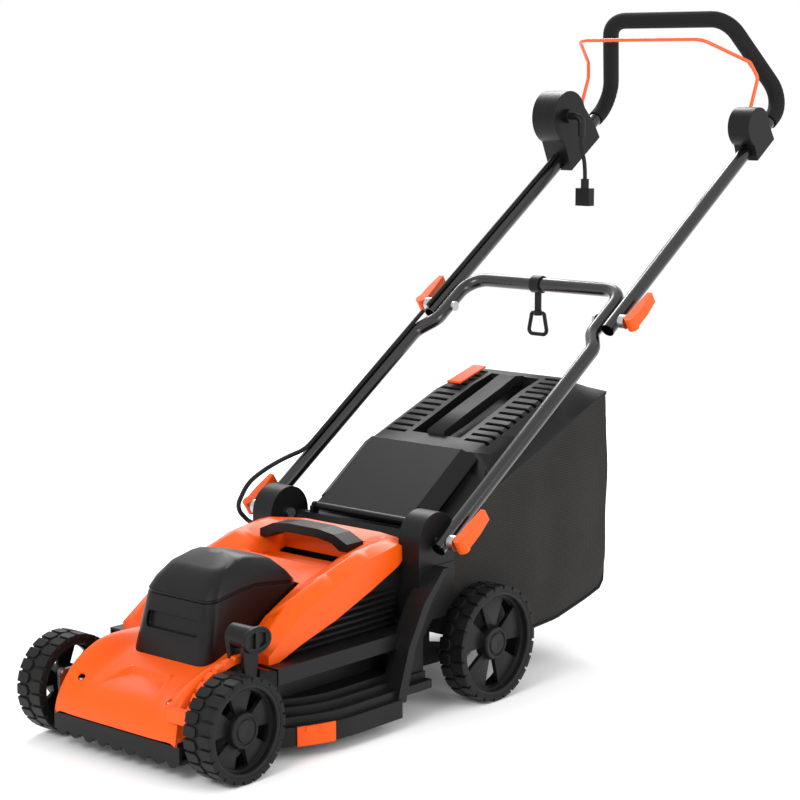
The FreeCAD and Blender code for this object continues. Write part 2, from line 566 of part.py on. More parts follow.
wing = prism_y([(half - 60, blade_z + 2), (half - 50, blade_z + 12), (half - 8, blade_z + 12),
                (half - 8, blade_z + 9), (half - 48, blade_z + 9), (half - 55, blade_z + 2)],
               blade_y + 14, blade_y + 21)
wing_2 = wing.copy()
wing_2.rotate(V(0, blade_y, 0), V(0, 0, 1), 180)
blade = fuse(blade, wing, wing_2).common(disc_z(spindle_xy, half, 0, 60)).cut(
    disc_z(spindle_xy, 6.2, 0, 60))
nodes["blade"] = blade
nodes["blade_bolt"] = fuse(disc_z(spindle_xy, 6.0, blade_z - 2, blade_z + 4),
                           disc_z(spindle_xy, 14.0, blade_z - 3, blade_z),
                           Part.makeCylinder(9.0, 7, V(0, blade_y, blade_z - 8)))
nodes["spindle"] = fuse(nodes["spindle"], disc_z(spindle_xy, 20.0, blade_z + 3, blade_z + 4.2))
nodes["blade_bolt"] = nodes["blade_bolt"].cut(nodes["spindle"])

# ---- rear flap and its pin ---------------------------------------------------------------------
flap_angle = math.radians(35.3)
flap_length = 150.0


def flap_local(outline_xh, d0, d1):
    """Prism along the flap: outline in (x, height above the flap plane)."""
    ca, sa = math.cos(flap_angle), math.sin(flap_angle)
    pts = [V(x, hinge_y + d0 * ca - h * sa, hinge_z + d0 * sa + h * ca) for x, h in outline_xh]
    return face_of(pts).extrude(V(0, (d1 - d0) * ca, (d1 - d0) * sa))


flap = fuse(flap_local([(-88, 1), (88, 1), (88, 4), (-88, 4)], 0, 30),
            flap_local([(-110, -14), (-88, 1), (88, 1), (110, -14), (110, -10.5), (88, 4), (-88, 4),
                        (-110, -10.5)], 28, flap_length),
            rod_x(-90, 90, (hinge_y, hinge_z), 5.5))
flap = flap.cut(rod_x(-120, 120, (hinge_y, hinge_z), 2.5 + running))
nodes["rear_flap"] = flap
nodes["flap_hinge_pin"] = rod_x(-101, 101, (hinge_y, hinge_z), 2.5)

# ---- handle hubs on the deck's rear columns ---------------------------------------------------
hub_r = 40.0
hub_x0, hub_x1 = handle_x - 51.0, handle_x - tube_r - 2.0
pivot_yz = (pivot_y, pivot_z)
hub = fuse(rod_x(hub_x0, hub_x1, pivot_yz, hub_r),
           box(hub_x0, hub_x1, pivot_y - hub_r, pivot_y + hub_r - 4, 212, pivot_z))
hub = hub.cut(rod_x(hub_x0 - 1, hub_x1 + 1, pivot_yz, bolt_d / 2 + running))
hub = hub.cut(nodes["cowl"]).cut(box(hub_x0 - 1, hub_x1 + 1, pivot_y - 60, pivot_y + 60, 100, 212))
nodes["handle_hubs"] = Part.makeCompound([max(hub.Solids, key=lambda s: s.Volume),
                                          mirrored(max(hub.Solids, key=lambda s: s.Volume))])

# ---- grass box: rigid lid, fabric body, fill indicator ------------------------------------------
lid_stations = ((exit_y + 20, 226, 232, 238), (rear_y + 61, 290, 300, 320),
                (rear_y + 65, 292, 326, 344), (rear_y + 143, 324, 356, 372),
                (rear_y + 243, 366, 394, 410), (rear_y + 306, 391, 410, 428),
                (rear_y + 340, 404, 408, 416))


def lid_form(t):
    sections = []
    for i, (y, flange, shoulder, top) in enumerate(lid_stations):
        y = y + (t if i == 0 else 0) - (t if i == len(lid_stations) - 1 else 0)
        narrow = 0.0 if i < 5 else 14.0
        w, s, c = box_half - t, box_half - 22 - t - narrow, box_half - 46 - t - narrow
        sections.append([(-w, y, flange - 5 * (t > 0)), (-w, y, flange + 5 - t), (-s, y, shoulder - t + 4),
                         (-c, y, top - t), (c, y, top - t), (s, y, shoulder - t + 4),
                         (w, y, flange + 5 - t), (w, y, flange - 5 * (t > 0))])
    return loft(sections)


lid_y0, lid_y1 = rear_y + 98.0, rear_y + 293.0
recess = prism_x([(lid_y0, 332), (lid_y0, 470), (lid_y1, 470), (lid_y1, 396)], -48, 48)
recess_wall = prism_x([(lid_y0 - 2.5, 329), (lid_y0 - 2.5, 470), (lid_y1 + 2.5, 470), (lid_y1 + 2.5, 393)],
                      -50.5, 50.5)
lid_solid = lid_form(0.0)
lid_shell = lid_solid.cut(lid_form(2.5)).fuse(recess_wall.common(lid_solid)).cut(recess)
lid_bar = prism_x([(lid_y0 - 1, 348), (lid_y0 - 1, 362), (rear_y + 160, 386), (rear_y + 240, 415),
                   (lid_y1 - 20, 428), (lid_y1 + 1, 426), (lid_y1 + 1, 410), (lid_y1 - 24, 412),
                   (rear_y + 238, 398), (rear_y + 162, 369)], -16, 16)
nodes["box_lid"] = fuse(lid_shell, lid_bar)
indicator_y0, indicator_y1 = rear_y + 236.0, rear_y + 300.0
indicator_x0, indicator_x1 = -(box_half - 52.0), -(box_half - 52.0) + 26.0
indicator_axis = (indicator_y0, 413.6)
indicator = fuse(prism_x([(indicator_y0, 412.4), (indicator_y1, 431.0), (indicator_y1, 433.5),
                          (indicator_y0, 414.8)], indicator_x0, indicator_x1),
                 rod_x(indicator_x0, indicator_x1, indicator_axis, 2.2))
nodes["fill_indicator"] = indicator
flange_line = [(s[0], s[1]) for s in lid_stations]
bag_outer = [(exit_y + 14, 226), (exit_y + 14, 96), (rear_y + 63, 72), (rear_y + 143, 65), (rear_y + 216, 70),
             (rear_y + 328, 95), (rear_y + 341, 108), (rear_y + 338, 402)] + [
                 (y, z - 0.4) for y, z in reversed(flange_line)]
bag_inner = [(exit_y + 4, 222), (exit_y + 4, 99.5), (exit_y + 16, 99), (rear_y + 63, 75), (rear_y + 143, 68),
             (rear_y + 216, 73), (rear_y + 327, 98), (rear_y + 338, 109), (rear_y + 335, 420)] + [
                 (y, z + 12) for y, z in reversed(flange_line[1:-1])] + [(exit_y + 16, 240)]
bag = prism_x(bag_outer, -box_half, box_half).cut(prism_x(bag_inner, -box_half + 3, box_half - 3))
nodes["grass_bag"] = bag

# ---- handle: lower U, upper loop, foam, bolts and cam levers --------------------------------------
inner_x = handle_x - tube_d - 0.5
lower_points = [on_leg(-17, 0, handle_x), on_leg(424, 0, handle_x), on_leg(456, 0, inner_x),
                on_leg(lower_reach, 0, inner_x)]
lower_points += [(-x, y, z) for x, y, z in reversed(lower_points)]
lower_tube = tube(lower_points, [30.0, 30.0, 36.0, 36.0, 30.0, 30.0], tube_r, tube_r - tube_wall)
corner_1 = on_leg(upper_reach, 0, handle_x)
corner_2 = (grip_half_width, corner_1[1] - grip_forward, corner_1[2] + grip_rise)
upper_points = [on_leg(upper_start, 0, handle_x), corner_1, corner_2]
upper_points += [(-x, y, z) for x, y, z in reversed(upper_points)]
bend_r = 44.0
upper_tube = tube(upper_points, [bend_r] * 4, tube_r, tube_r - tube_wall)
foam_start = upper_reach - bend_r - 12.0
foam_points = [on_leg(foam_start, 0, handle_x)] + upper_points[1:-1]
foam_points.append((-foam_points[0][0], foam_points[0][1], foam_points[0][2]))
foam = tube(foam_points, [bend_r] * 4, foam_r, tube_r)
joint_yz = on_leg(joint_reach)[1:]
spacer_x0, spacer_x1 = handle_x + tube_r + 0.3, handle_x + tube_r + 10.6


def pivot_bolt(head_x, yz):
    """Bolt with a head at its inner end and the cam's spacer at its outer end."""
    return fuse(rod_x(head_x, spacer_x1, yz, bolt_d / 2), rod_x(head_x - 4, head_x, yz, 8.0),
                rod_x(spacer_x0, spacer_x1, yz, 11.0))


lower_bolt, upper_bolt = pivot_bolt(hub_x0 - 0.3, pivot_yz), pivot_bolt(inner_x - tube_r, joint_yz)
bolts = [lower_bolt, mirrored(lower_bolt), upper_bolt, mirrored(upper_bolt)]
nodes["lower_tube"] = lower_tube.cut(fuse(*bolts))
nodes["upper_tube"] = upper_tube.cut(rod_x(-230, 230, joint_yz, bolt_d / 2 + running))
nodes["pivot_bolts"] = Part.makeCompound(bolts)
nodes["foam_grip"] = foam


def cam_lever(t, reach):
    """Quick-release lever lying along the leg, its cam barrel across it."""
    barrel_x = spacer_x1 + 9.4
    centre = V(*on_leg(t, 0, barrel_x))
    normal = V(0, -along[1], along[0])
    barrel = Part.makeCylinder(9.0, 22, centre - normal * 11, normal)
    pts = []
    for u, w in ((0, -8.5), (reach * 0.5, -7.0), (reach, -3.5), (reach, 4.5), (reach * 0.5, 8.5), (0, 8.5)):
        p = V(*on_leg(t + u, 0, barrel_x + w))
        pts.append(p - normal * 9)
    arm = face_of(pts).extrude(normal * 18)
    return barrel.fuse(arm).removeSplitter()


for name, t in (("lower", 0.0), ("upper", joint_reach)):
    lever_shape = cam_lever(t, 62.0)
    nodes[name + "_lever_left"] = lever_shape
    nodes[name + "_lever_right"] = mirrored(lever_shape)

# ---- switch box, bail box, bail and lock-off button ---------------------------------------------
switch_t, switch_n = upper_reach - 143.0, 64.0
bail_t, bail_n = upper_reach - 104.0, 35.0
clamp_t = upper_reach - 112.0
bail_yz = on_leg(bail_t, bail_n)[1:]
bail_r = bail_d / 2


def housing(drum_t, drum_n, drum_r, t0, t1, x0, x1):
    """Drum above the leg and the clamp block round the leg, joined by straight flanks."""
    centre = on_leg(drum_t, drum_n)[1:]
    neck = leg_outline([(drum_t - drum_r * 0.82, drum_n - drum_r * 0.55), (t0, -15), (t1, -15), (t1, 15),
                        (drum_t + drum_r * 0.95, drum_n - drum_r * 0.1), (drum_t, drum_n + drum_r * 0.5)])
    return fuse(prism_x(neck, x0, x1), rod_x(x0, x1, centre, drum_r))


bail_x = handle_x - 5.0
bail_knee = (29.5, 69.7)
bail_lean = math.degrees(math.atan2(*bail_knee))
bail_travel = 26.5
slot_x0, slot_x1 = bail_x - bail_r - 1.2, bail_x + bail_r + 1.2


def beyond_bail(angle, reach=90.0):
    """Point on the bail's arm line when it leans by this angle from vertical."""
    a = math.radians(angle)
    return (bail_yz[0] + reach * math.sin(a), bail_yz[1] + reach * math.cos(a))


slot_ends = [beyond_bail(bail_lean), beyond_bail(bail_lean + bail_travel)]
bail_slot = fuse(prism_x([bail_yz, slot_ends[0], slot_ends[1]], slot_x0, slot_x1),
                 *[hull_x(bail_yz, 8.0, end, 5.0, slot_x0, slot_x1) for end in slot_ends])
pin_hole = rod_x(handle_x - 23, handle_x - 4, bail_yz, bail_r + running)
clear_ends = (on_leg(switch_t - 126), on_leg(switch_t + 84))
tube_clear = rod(*clear_ends, tube_r)
switch_x0, switch_x1 = handle_x - 24.0, handle_x + 24.0
switch_form = housing(switch_t, switch_n, 45.0, switch_t - 46, switch_t + 52, switch_x0, switch_x1)
switch_room = housing(switch_t, switch_n, 42.5, switch_t - 21, switch_t + 29, switch_x0 + 2.5,
                      switch_x1 - 2.5).cut(rod(*clear_ends, tube_r + 2.5))
switch_shell = switch_form.cut(switch_room).cut(tube_clear).cut(bail_slot).cut(pin_hole)
drum_yz = on_leg(switch_t, switch_n)[1:]
button_hole = rod_x(switch_x1 - 6, switch_x1 + 6, drum_yz, 9.3)
split_x = handle_x
inner_half = switch_shell.common(box(0, split_x, 0, 2000, 0, 2000))
outer_half = switch_shell.common(box(split_x, 400, 0, 2000, 0, 2000)).cut(button_hole)
inner_half = max(inner_half.Solids, key=lambda s: s.Volume)
outer_half = max(outer_half.Solids, key=lambda s: s.Volume)
relief_yz = on_leg(switch_t - 5, switch_n + 6)[1:]
relief_hole = rod_x(switch_x0 - 1, switch_x0 + 8, relief_yz, 8.0)
nodes["switch_box_inner"] = mirrored(inner_half.cut(relief_hole))
nodes["switch_box_outer"] = mirrored(outer_half)
bail_box = housing(clamp_t, 29.0, 32.0, clamp_t - 32, clamp_t + 28, handle_x - 20, handle_x + 20).cut(
    housing(clamp_t, 29.0, 29.5, clamp_t - 27, clamp_t + 23, handle_x - 17.5, handle_x + 17.5).cut(
        rod(*clear_ends, tube_r + 2.5)))
bail_box = bail_box.cut(tube_clear).cut(bail_slot).cut(pin_hole)
nodes["bail_box"] = max(bail_box.Solids, key=lambda s: s.Volume)

bail_points = [(bail_x - 16, bail_yz[0], bail_yz[1]), (bail_x, bail_yz[0], bail_yz[1]),
               (bail_x, bail_yz[0] + bail_knee[0], bail_yz[1] + bail_knee[1]),
               (bail_x - 8, bail_yz[0] + 17.5, bail_yz[1] + 94.7),
               (bail_x - 49, bail_yz[0] - 65.5, bail_yz[1] + 131.7)]
bail_points += [(-x, y, z) for x, y, z in reversed(bail_points)]
bail = tube(bail_points, [4.0, 12.0, 12.0, 24.0, 24.0, 12.0, 12.0, 4.0], bail_r)
nodes["bail"] = bail
button = rod_x(switch_x1 - 9, switch_x1 + 5, drum_yz, 9.0)
nodes["lock_button"] = mirrored(button)

# ---- strain relief, power lead and plug -----------------------------------------------------------
relief_x = -(switch_x0 - 30.0)
relief_elbow = [(-(switch_x0 + 3.0), relief_yz[0], relief_yz[1]), (relief_x, relief_yz[0], relief_yz[1]),
                (relief_x, relief_yz[0], relief_yz[1] - 34)]
relief = tube(relief_elbow, [13.0], 6.0).fuse(rod_x(-(switch_x0 + 2.5), -(switch_x0 - 8), relief_yz, 12.0))
relief = relief.cut(mirrored(switch_form).cut(mirrored(relief_hole)))
nodes["strain_relief"] = relief
lead_points = [(relief_x, relief_yz[0], relief_yz[1] - 34), (relief_x, relief_yz[0], relief_yz[1] - 56),
               (relief_x + 6, relief_yz[0] + 3, relief_yz[1] - 80),
               (relief_x + 6, relief_yz[0] + 3, relief_yz[1] - 106)]
lead_radii = soft_radii(lead_points)
lead = tube(lead_points, lead_radii, lead_d / 2)
nodes["power_lead"] = lead
plug_top = lead_points[-1]
nodes["power_plug"] = fuse(rod(plug_top, (plug_top[0], plug_top[1], plug_top[2] - 18), 7.0),
                           box(plug_top[0] - 14, plug_top[0] + 14, plug_top[1] - 8, plug_top[1] + 8,
                               plug_top[2] - 46, plug_top[2] - 16))
lead_length = sum(e.Length for e in path_wire(lead_points, lead_radii).Edges)

# ---- cable along the right leg ------------------------------------------------------------------------
cable_n = tube_r + cable_d / 2 + 0.3
upper_cable_points = [on_leg(t, cable_n, -handle_x) for t in (switch_t - 44, upper_start + 3)]
lower_cable_points = [on_leg(t, cable_n, -handle_x) for t in (455.0, 150.0)]
nodes["upper_cable"] = rod(upper_cable_points[0], upper_cable_points[1], cable_d / 2)
nodes["lower_cable"] = rod(lower_cable_points[0], lower_cable_points[1], cable_d / 2)
loop_points = [lower_cable_points[1], on_leg(118, cable_n, -handle_x), on_leg(84, 24, -handle_x - 14),
               on_leg(46, 34, -handle_x - 20), on_leg(8, 40, -handle_x - 22),
               (-handle_x - 20, pivot_y - 42, pivot_z + 4), (-hub_x1 - 20, pivot_y - 28, pivot_z - 18),
               (-hub_x1, pivot_y - 28, pivot_z - 18)]
loop_radii = soft_radii(loop_points)
nodes["cable_loop"] = tube(loop_points, loop_radii, cable_d / 2)

# ---- cord hook hanging from the cross bar ----------------------------------------------------------------
hook_x = -15.0
bar_yz = on_leg(lower_reach)[1:]
hook_r = tube_r + running
strap = ring_x(hook_x - 9, hook_x + 9, bar_yz, hook_r + 3, hook_r)
drop = fuse(box(hook_x - 5, hook_x + 5, bar_yz[0] - 2.5, bar_yz[0] + 2.5, bar_yz[1] - 44,
                bar_yz[1] - hook_r - 1),
            ring_z((hook_x, bar_yz[0]), 6.5, 3.0, bar_yz[1] - 50, bar_yz[1] - 42))
loop_top, loop_bottom = bar_yz[1] - 46.0, bar_yz[1] - 80.0
half_loop = tube([(0, bar_yz[0], loop_top), (12, bar_yz[0], loop_top), (19, bar_yz[0], loop_bottom),
                  (0, bar_yz[0], loop_bottom)], [4.0, 7.0], 3.2)
loop = fuse(half_loop, mirrored(half_loop))
loop.translate(V(hook_x, 0, 0))
nodes["cord_hook"] = fuse(strap, drop, loop)

# ---- export ---------------------------------------------------------------------------------------------
everything = Part.makeCompound(list(nodes.values()))
bounds = everything.BoundBox
origin_y = (bounds.YMin + bounds.YMax) / 2


def export(name, shape):
    moved = shape.copy()
    moved.translate(V(0, -origin_y, 0))
    moved.exportStep("parts/" + name + ".step")


os.makedirs("parts", exist_ok=True)
for name, shape in nodes.items():
    export(name, shape)
print("origin_y", origin_y, "lead length", lead_length)
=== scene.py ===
import math
import bmesh
import bpy
from mathutils import Matrix, Vector


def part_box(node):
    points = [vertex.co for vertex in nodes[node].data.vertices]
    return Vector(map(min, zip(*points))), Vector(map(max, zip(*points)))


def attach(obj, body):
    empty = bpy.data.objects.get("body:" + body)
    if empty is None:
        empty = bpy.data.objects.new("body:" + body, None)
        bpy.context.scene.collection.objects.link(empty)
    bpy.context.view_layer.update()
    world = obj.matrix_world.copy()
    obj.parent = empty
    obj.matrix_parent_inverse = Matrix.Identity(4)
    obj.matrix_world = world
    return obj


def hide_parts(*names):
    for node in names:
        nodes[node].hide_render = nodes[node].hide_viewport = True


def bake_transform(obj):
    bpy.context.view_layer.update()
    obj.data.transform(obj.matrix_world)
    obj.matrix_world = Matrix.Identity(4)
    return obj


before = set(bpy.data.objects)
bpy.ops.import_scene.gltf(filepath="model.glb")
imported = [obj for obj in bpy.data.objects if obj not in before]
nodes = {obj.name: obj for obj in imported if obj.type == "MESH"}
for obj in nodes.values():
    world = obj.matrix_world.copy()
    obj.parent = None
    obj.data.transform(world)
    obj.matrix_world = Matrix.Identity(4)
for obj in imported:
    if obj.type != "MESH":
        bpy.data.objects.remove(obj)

scene = bpy.context.scene
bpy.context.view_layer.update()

# ---- Camera ----------------------------------------------------------------------------------
# A long lens, a little above the machine, seeing its nose and its operator's left side.
# Places are in millimetres from the front axle line, on the ground, in the middle.
MM = 0.001
tyre_low, tyre_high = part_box("front_left_tyre")
AXLE_Y = (tyre_low.y + tyre_high.y) / 2


def at(x, y, z):
    """A point in millimetres from the front axle line, as a place in the frame."""
    return Vector((x * MM, AXLE_Y + y * MM, z * MM))


def turned_to(place, target):
    return (target - place).to_track_quat("-Z", "Y")


AZIMUTH, ELEVATION = math.radians(40.89), math.radians(8.81)
CAMERA_PLACE = (2051, -1857, 904)
LENS_MM, SENSOR_MM, NEAR_M, FAR_M = 96.2, 36.0, 0.05, 40.0
look = Vector((-math.sin(AZIMUTH) * math.cos(ELEVATION),
               math.cos(AZIMUTH) * math.cos(ELEVATION), -math.sin(ELEVATION)))
camera = bpy.data.objects.new("camera", bpy.data.cameras.new("camera"))
scene.collection.objects.link(camera)
camera.location = at(*CAMERA_PLACE)
camera.rotation_mode = "QUATERNION"
camera.rotation_quaternion = turned_to(camera.location, camera.location + look)
camera.data.lens = LENS_MM
camera.data.sensor_width = SENSOR_MM
camera.data.clip_start, camera.data.clip_end = NEAR_M, FAR_M
scene.camera = camera
scene.view_settings.view_transform = "Standard"

# ---- Power lead ------------------------------------------------------------------------------
# A short pigtail of round PVC flex, 7 mm thick and 73 mm long.  It leaves the elbow under the
# switch box, hangs by its weight and ends in a moulded inline plug.


def linear(code):
    """sRGB hex to the linear colour that a shader takes."""
    values = [int(code[i:i + 2], 16) / 255 for i in (1, 3, 5)]
    return [v / 12.92 if v <= 0.04045 else ((v + 0.055) / 1.055) ** 2.4 for v in values] + [1.0]


def add(tree, kind, settings=None, links=None):
    """One node, with its properties or socket values, and what its sockets are fed from."""
    made = tree.nodes.new(kind)
    for key, value in (settings or {}).items():
        if isinstance(key, str) and hasattr(made, key):
            setattr(made, key, value)
        else:
            made.inputs[key].default_value = value
    for key, source in (links or {}).items():
        tree.links.new(source, made.inputs[key])
    return made


def start(name):
    made = bpy.data.materials.new(name)
    made.use_nodes = True
    return made, made.node_tree, made.node_tree.nodes["Principled BSDF"]


def moulded(name, code, roughness, grain_mm, depth_mm, drift=0.1, corner_mm=0.8, dust="#000000"):
    """Injection-moulded plastic.  Spark-eroded grain breaks up the highlights, the colour drifts
    a little with the flow of the melt, and the corners are rounded by the mould."""
    made, tree, surface = start(name)
    place = add(tree, "ShaderNodeTexCoord")
    grain = add(tree, "ShaderNodeTexNoise", {"Scale": 1 / (grain_mm * MM), "Detail": 3.0},
                {"Vector": place.outputs["Object"]})
    flow = add(tree, "ShaderNodeTexNoise", {"Scale": 9.0, "Detail": 4.0, "Roughness": 0.55},
               {"Vector": place.outputs["Object"]})
    corner = add(tree, "ShaderNodeBevel", {"samples": 4, "Radius": corner_mm * MM})
    bump = add(tree, "ShaderNodeBump", {"Strength": 0.4, "Distance": depth_mm * MM},
               {"Height": grain.outputs["Fac"], "Normal": corner.outputs["Normal"]})
    surface.inputs["Specular IOR Level"].default_value = 0.22
    base, warm = linear(code), linear(dust)
    tone = add(tree, "ShaderNodeMix", {"data_type": "RGBA"}, {"Factor": flow.outputs["Fac"]})
    tone.inputs[6].default_value = [c * (1 - drift) for c in base[:3]] + [1.0]
    tone.inputs[7].default_value = [min(1.0, c * (1 + drift) + w) for c, w in
                                    zip(base[:3], warm[:3])] + [1.0]
    rough = add(tree, "ShaderNodeMapRange",
                {"From Min": 0.3, "From Max": 0.7,
                 "To Min": roughness - 0.05, "To Max": roughness + 0.06},
                {"Value": flow.outputs["Fac"]})
    tree.links.new(tone.outputs[2], surface.inputs["Base Color"])
    tree.links.new(rough.outputs["Result"], surface.inputs["Roughness"])
    tree.links.new(bump.outputs["Normal"], surface.inputs["Normal"])
    return made


def dress(material, *names):
    """CAD pieces that keep their own shape take a finish."""
    for name in names:
        nodes[name].data.materials.clear()
        nodes[name].data.materials.append(material)


lead_pvc = moulded("soft_pvc_jacket", "#0d0d0d", 0.46, 1.4, 0.04, corner_mm=0.2)
plug_pvc = moulded("pvc_plug", "#0f0f10", 0.4, 0.9, 0.06)
dress(plug_pvc, "power_plug", "strain_relief")
LEAD_THICK, LEAD_LENGTH = 0.007, 0.0727
LEAD_STEPS = ((0, 0, 0), (0, 0, -22), (6, 3, -46), (6, 3, -72))
exit_point = Vector((-0.122, 0.516674, 0.789574))
lead_route = [exit_point + Vector(step) * MM for step in LEAD_STEPS]
lead_curve = bpy.data.curves.new("lead", "CURVE")
lead_curve.dimensions = "3D"
lead_line = lead_curve.splines.new("NURBS")
lead_line.points.add(len(lead_route) - 1)
for point, place in zip(lead_line.points, lead_route):
    point.co = (*place, 1)
lead_line.order_u = 3
lead_line.use_endpoint_u = True
lead_line.resolution_u = 16
lead_curve.bevel_depth = LEAD_THICK / 2
lead_curve.bevel_resolution = 6
lead_curve.use_fill_caps = True
lead_curve.materials.append(lead_pvc)
lead = bpy.data.objects.new("lead", lead_curve)
scene.collection.objects.link(lead)
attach(lead, "upper_handle")
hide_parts("power_lead")

# ---- Floor, light and sky --------------------------------------------------------------------
# A plain white floor that meets a white sky, and three large soft lamps.
FLOOR_REACH, FLOOR_GAP = 9, 0.0005
floor_mesh = bpy.data.meshes.new("floor")
floor_mesh.from_pydata([(x * FLOOR_REACH, y * FLOOR_REACH, 0)
                        for x, y in ((-1, -1), (1, -1), (1, 1), (-1, 1))], [], [(0, 1, 2, 3)])
floor = bpy.data.objects.new("floor", floor_mesh)
floor.location.z = -FLOOR_GAP
scene.collection.objects.link(floor)
floor_paint, _, floor_surface = start("matt_white_floor")
floor_surface.inputs["Base Color"].default_value = linear("#ffffff")
floor_surface.inputs["Roughness"].default_value = 0.9
floor_mesh.materials.append(floor_paint)
scene.world = bpy.data.worlds.new("studio")
scene.world.use_nodes = True
sky = scene.world.node_tree.nodes["Background"]
sky.inputs["Color"].default_value = linear("#ffffff")
sky.inputs["Strength"].default_value = 1.0
for name, place, target, size, power in (
        ("key", (700, -2600, 2300), (0, 300, 250), (1.4, 1.0), 56),
        ("side", (2900, 700, 1300), (0, 500, 250), (1.0, 1.6), 28),
        ("rim", (-1700, 2300, 2300), (0, 500, 350), (1.8, 1.0), 52)):
    lamp = bpy.data.lights.new(name, "AREA")
    lamp.shape = "RECTANGLE"
    lamp.size, lamp.size_y = size
    lamp.energy = power
    lit = bpy.data.objects.new(name, lamp)
    lit.location = at(*place)
    lit.rotation_mode = "QUATERNION"
    lit.rotation_quaternion = turned_to(at(*place), at(*target))
    scene.collection.objects.link(lit)

# ---- Deck and its combs ----------------------------------------------------------------------
# The deck is one large moulding of black polypropylene that carries everything else.  Its side
# walls have sloping louvres under the cowl's edge, and each front corner has an orange comb.


def grid_mesh(name, rows, closed=False, caps=False):
    """Faces between rows of equal numbers of points; closed joins each row's ends."""
    count = len(rows[0])
    faces = []
    for r in range(len(rows) - 1):
        for c in range(count if closed else count - 1):
            d = (c + 1) % count
            faces.append((r * count + c, r * count + d, (r + 1) * count + d, (r + 1) * count + c))
    if caps:
        faces.append(tuple(range(count)))
        faces.append(tuple((len(rows) - 1) * count + c for c in range(count)))
    mesh = bpy.data.meshes.new(name)
    mesh.from_pydata([tuple(p) for row in rows for p in row], [], faces)
    form = bmesh.new()
    form.from_mesh(mesh)
    bmesh.ops.remove_doubles(form, verts=form.verts, dist=1e-6)
    bmesh.ops.recalc_face_normals(form, faces=form.faces)
    form.to_mesh(mesh)
    form.free()
    return mesh


def joined(name, *meshes):
    form = bmesh.new()
    for mesh in meshes:
        form.from_mesh(mesh)
    made = bpy.data.meshes.new(name)
    form.to_mesh(made)
    form.free()
    return made


def worked(mesh, name, *steps):
    """The mesh after its modifiers, each given as its kind and settings."""
    made = bpy.data.objects.new(name, mesh)
    scene.collection.objects.link(made)
    for kind, settings in steps:
        step = made.modifiers.new(kind.lower(), kind)
        for key, value in settings.items():
            setattr(step, key, value)
    graph = bpy.context.evaluated_depsgraph_get()
    shape = bpy.data.meshes.new_from_object(made.evaluated_get(graph))
    shape.name = name
    bpy.data.objects.remove(made)
    return shape


def cut_by(mesh, name, *cutters):
    """The mesh with closed cutter meshes taken out of it."""
    tools = []
    for cutter in cutters:
        tool = bpy.data.objects.new("cutter", cutter)
        scene.collection.objects.link(tool)
        tools.append(tool)
    shape = worked(mesh, name, *[("BOOLEAN", {"operation": "DIFFERENCE", "solver": "EXACT",
                                              "object": tool}) for tool in tools])
    for tool in tools:
        bpy.data.objects.remove(tool)
    return shape


def show(name, mesh, body, material, stands_for=(), crease=35):
    """A finished mesh becomes a piece that rides on a body, if given, and stands for CAD nodes."""
    made = bpy.data.objects.new(name, mesh)
    scene.collection.objects.link(made)
    if material:
        mesh.materials.clear()
        mesh.materials.append(material)
    mesh.shade_smooth()
    mesh.set_sharp_from_angle(angle=math.radians(crease))
    if body:
        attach(made, body)
    if stands_for:
        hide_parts(*stands_for)
    return made


deck_pp = moulded("polypropylene_deck", "#0d0d0e", 0.44, 0.9, 0.12, dust="#020202")
comb_pp = moulded("polypropylene_comb", "#e34f06", 0.42, 0.8, 0.06, drift=0.06)
dress(deck_pp, "deck", "front_comb", "spindle_housing", "belt_cover", "motor_base", "brush_frame")
dress(comb_pp, "side_combs")
SLATS, SLAT_PITCH, SLAT_REACH = 6, 9.0, 7.0
SLAT_X, SLAT_Z, SLAT_ROOT, SLAT_DROP, SLAT_TIP = 124.0, 137.0, 2.4, 3.5, 2.3
SLAT_FRONT_Y, SLAT_SETBACK, SLAT_BACK_Y = 122.0, 31.0, 352.0
slats = []
for i in range(SLATS):
    z = SLAT_Z + SLAT_PITCH * i
    ends = (SLAT_FRONT_Y + SLAT_SETBACK * i, SLAT_BACK_Y)
    edge = [(SLAT_X, z), (SLAT_X + SLAT_REACH, z - SLAT_DROP),
            (SLAT_X + SLAT_REACH, z - SLAT_DROP + SLAT_TIP), (SLAT_X, z + SLAT_ROOT)]
    for side in (1, -1):
        rows = [[at(side * x, y, w) for x, w in edge] for y in ends]
        slats.append(grid_mesh("slat", rows, True, True))
show("side_louvres", joined("side_louvres", *slats), "chassis", deck_pp)

# ---- Cowl: nose and body ---------------------------------------------------------------------
# Orange ABS with a satin finish.  The nose dips to a scoop between two raised wings, and the
# body behind it wraps the motor hood and carries the grip; screws hold both to the deck.
cowl_abs = moulded("abs_orange_cowl", "#e45206", 0.34, 0.7, 0.05, drift=0.05, corner_mm=1.4)
grip_pp = moulded("polypropylene_grip", "#0b0b0c", 0.42, 0.8, 0.08, corner_mm=1.5)
# Stations along the nose: y, height in the middle and height of the wings at its sides.
NOSE = ((-62, 52, 53), (-61.5, 61, 65), (-58, 74, 81), (-50, 88, 99), (-38, 97, 114),
        (-20, 104, 127), (8, 114, 140), (33, 123, 144), (60, 131, 143), (84, 139, 143))
WING_FROM, WING_TO, NOSE_HALF, NOSE_FLARE = 70.0, 110.0, 114.0, 3.0
NOSE_SKIRT, NOSE_LIP, NOSE_FRONT, NOSE_BOW = 97.0, 53.0, -62.0, 2.5
ROLL_FROM, ROLL_DROP, NOSE_SPANS, COWL_SKIN = 0.93, 5.0, 28, 2.5
SCOOP_BACK, SCOOP_FRONT, SCOOP_NARROW, SCOOP_WIDE = 6.0, -44.0, 36.0, 58.0
SCOOP_DEPTH, SCOOP_EDGE, RIB_HIGH, RIB_OUT, RIB_HALF = 5.5, 5.0, 1.6, 3.0, 5.0


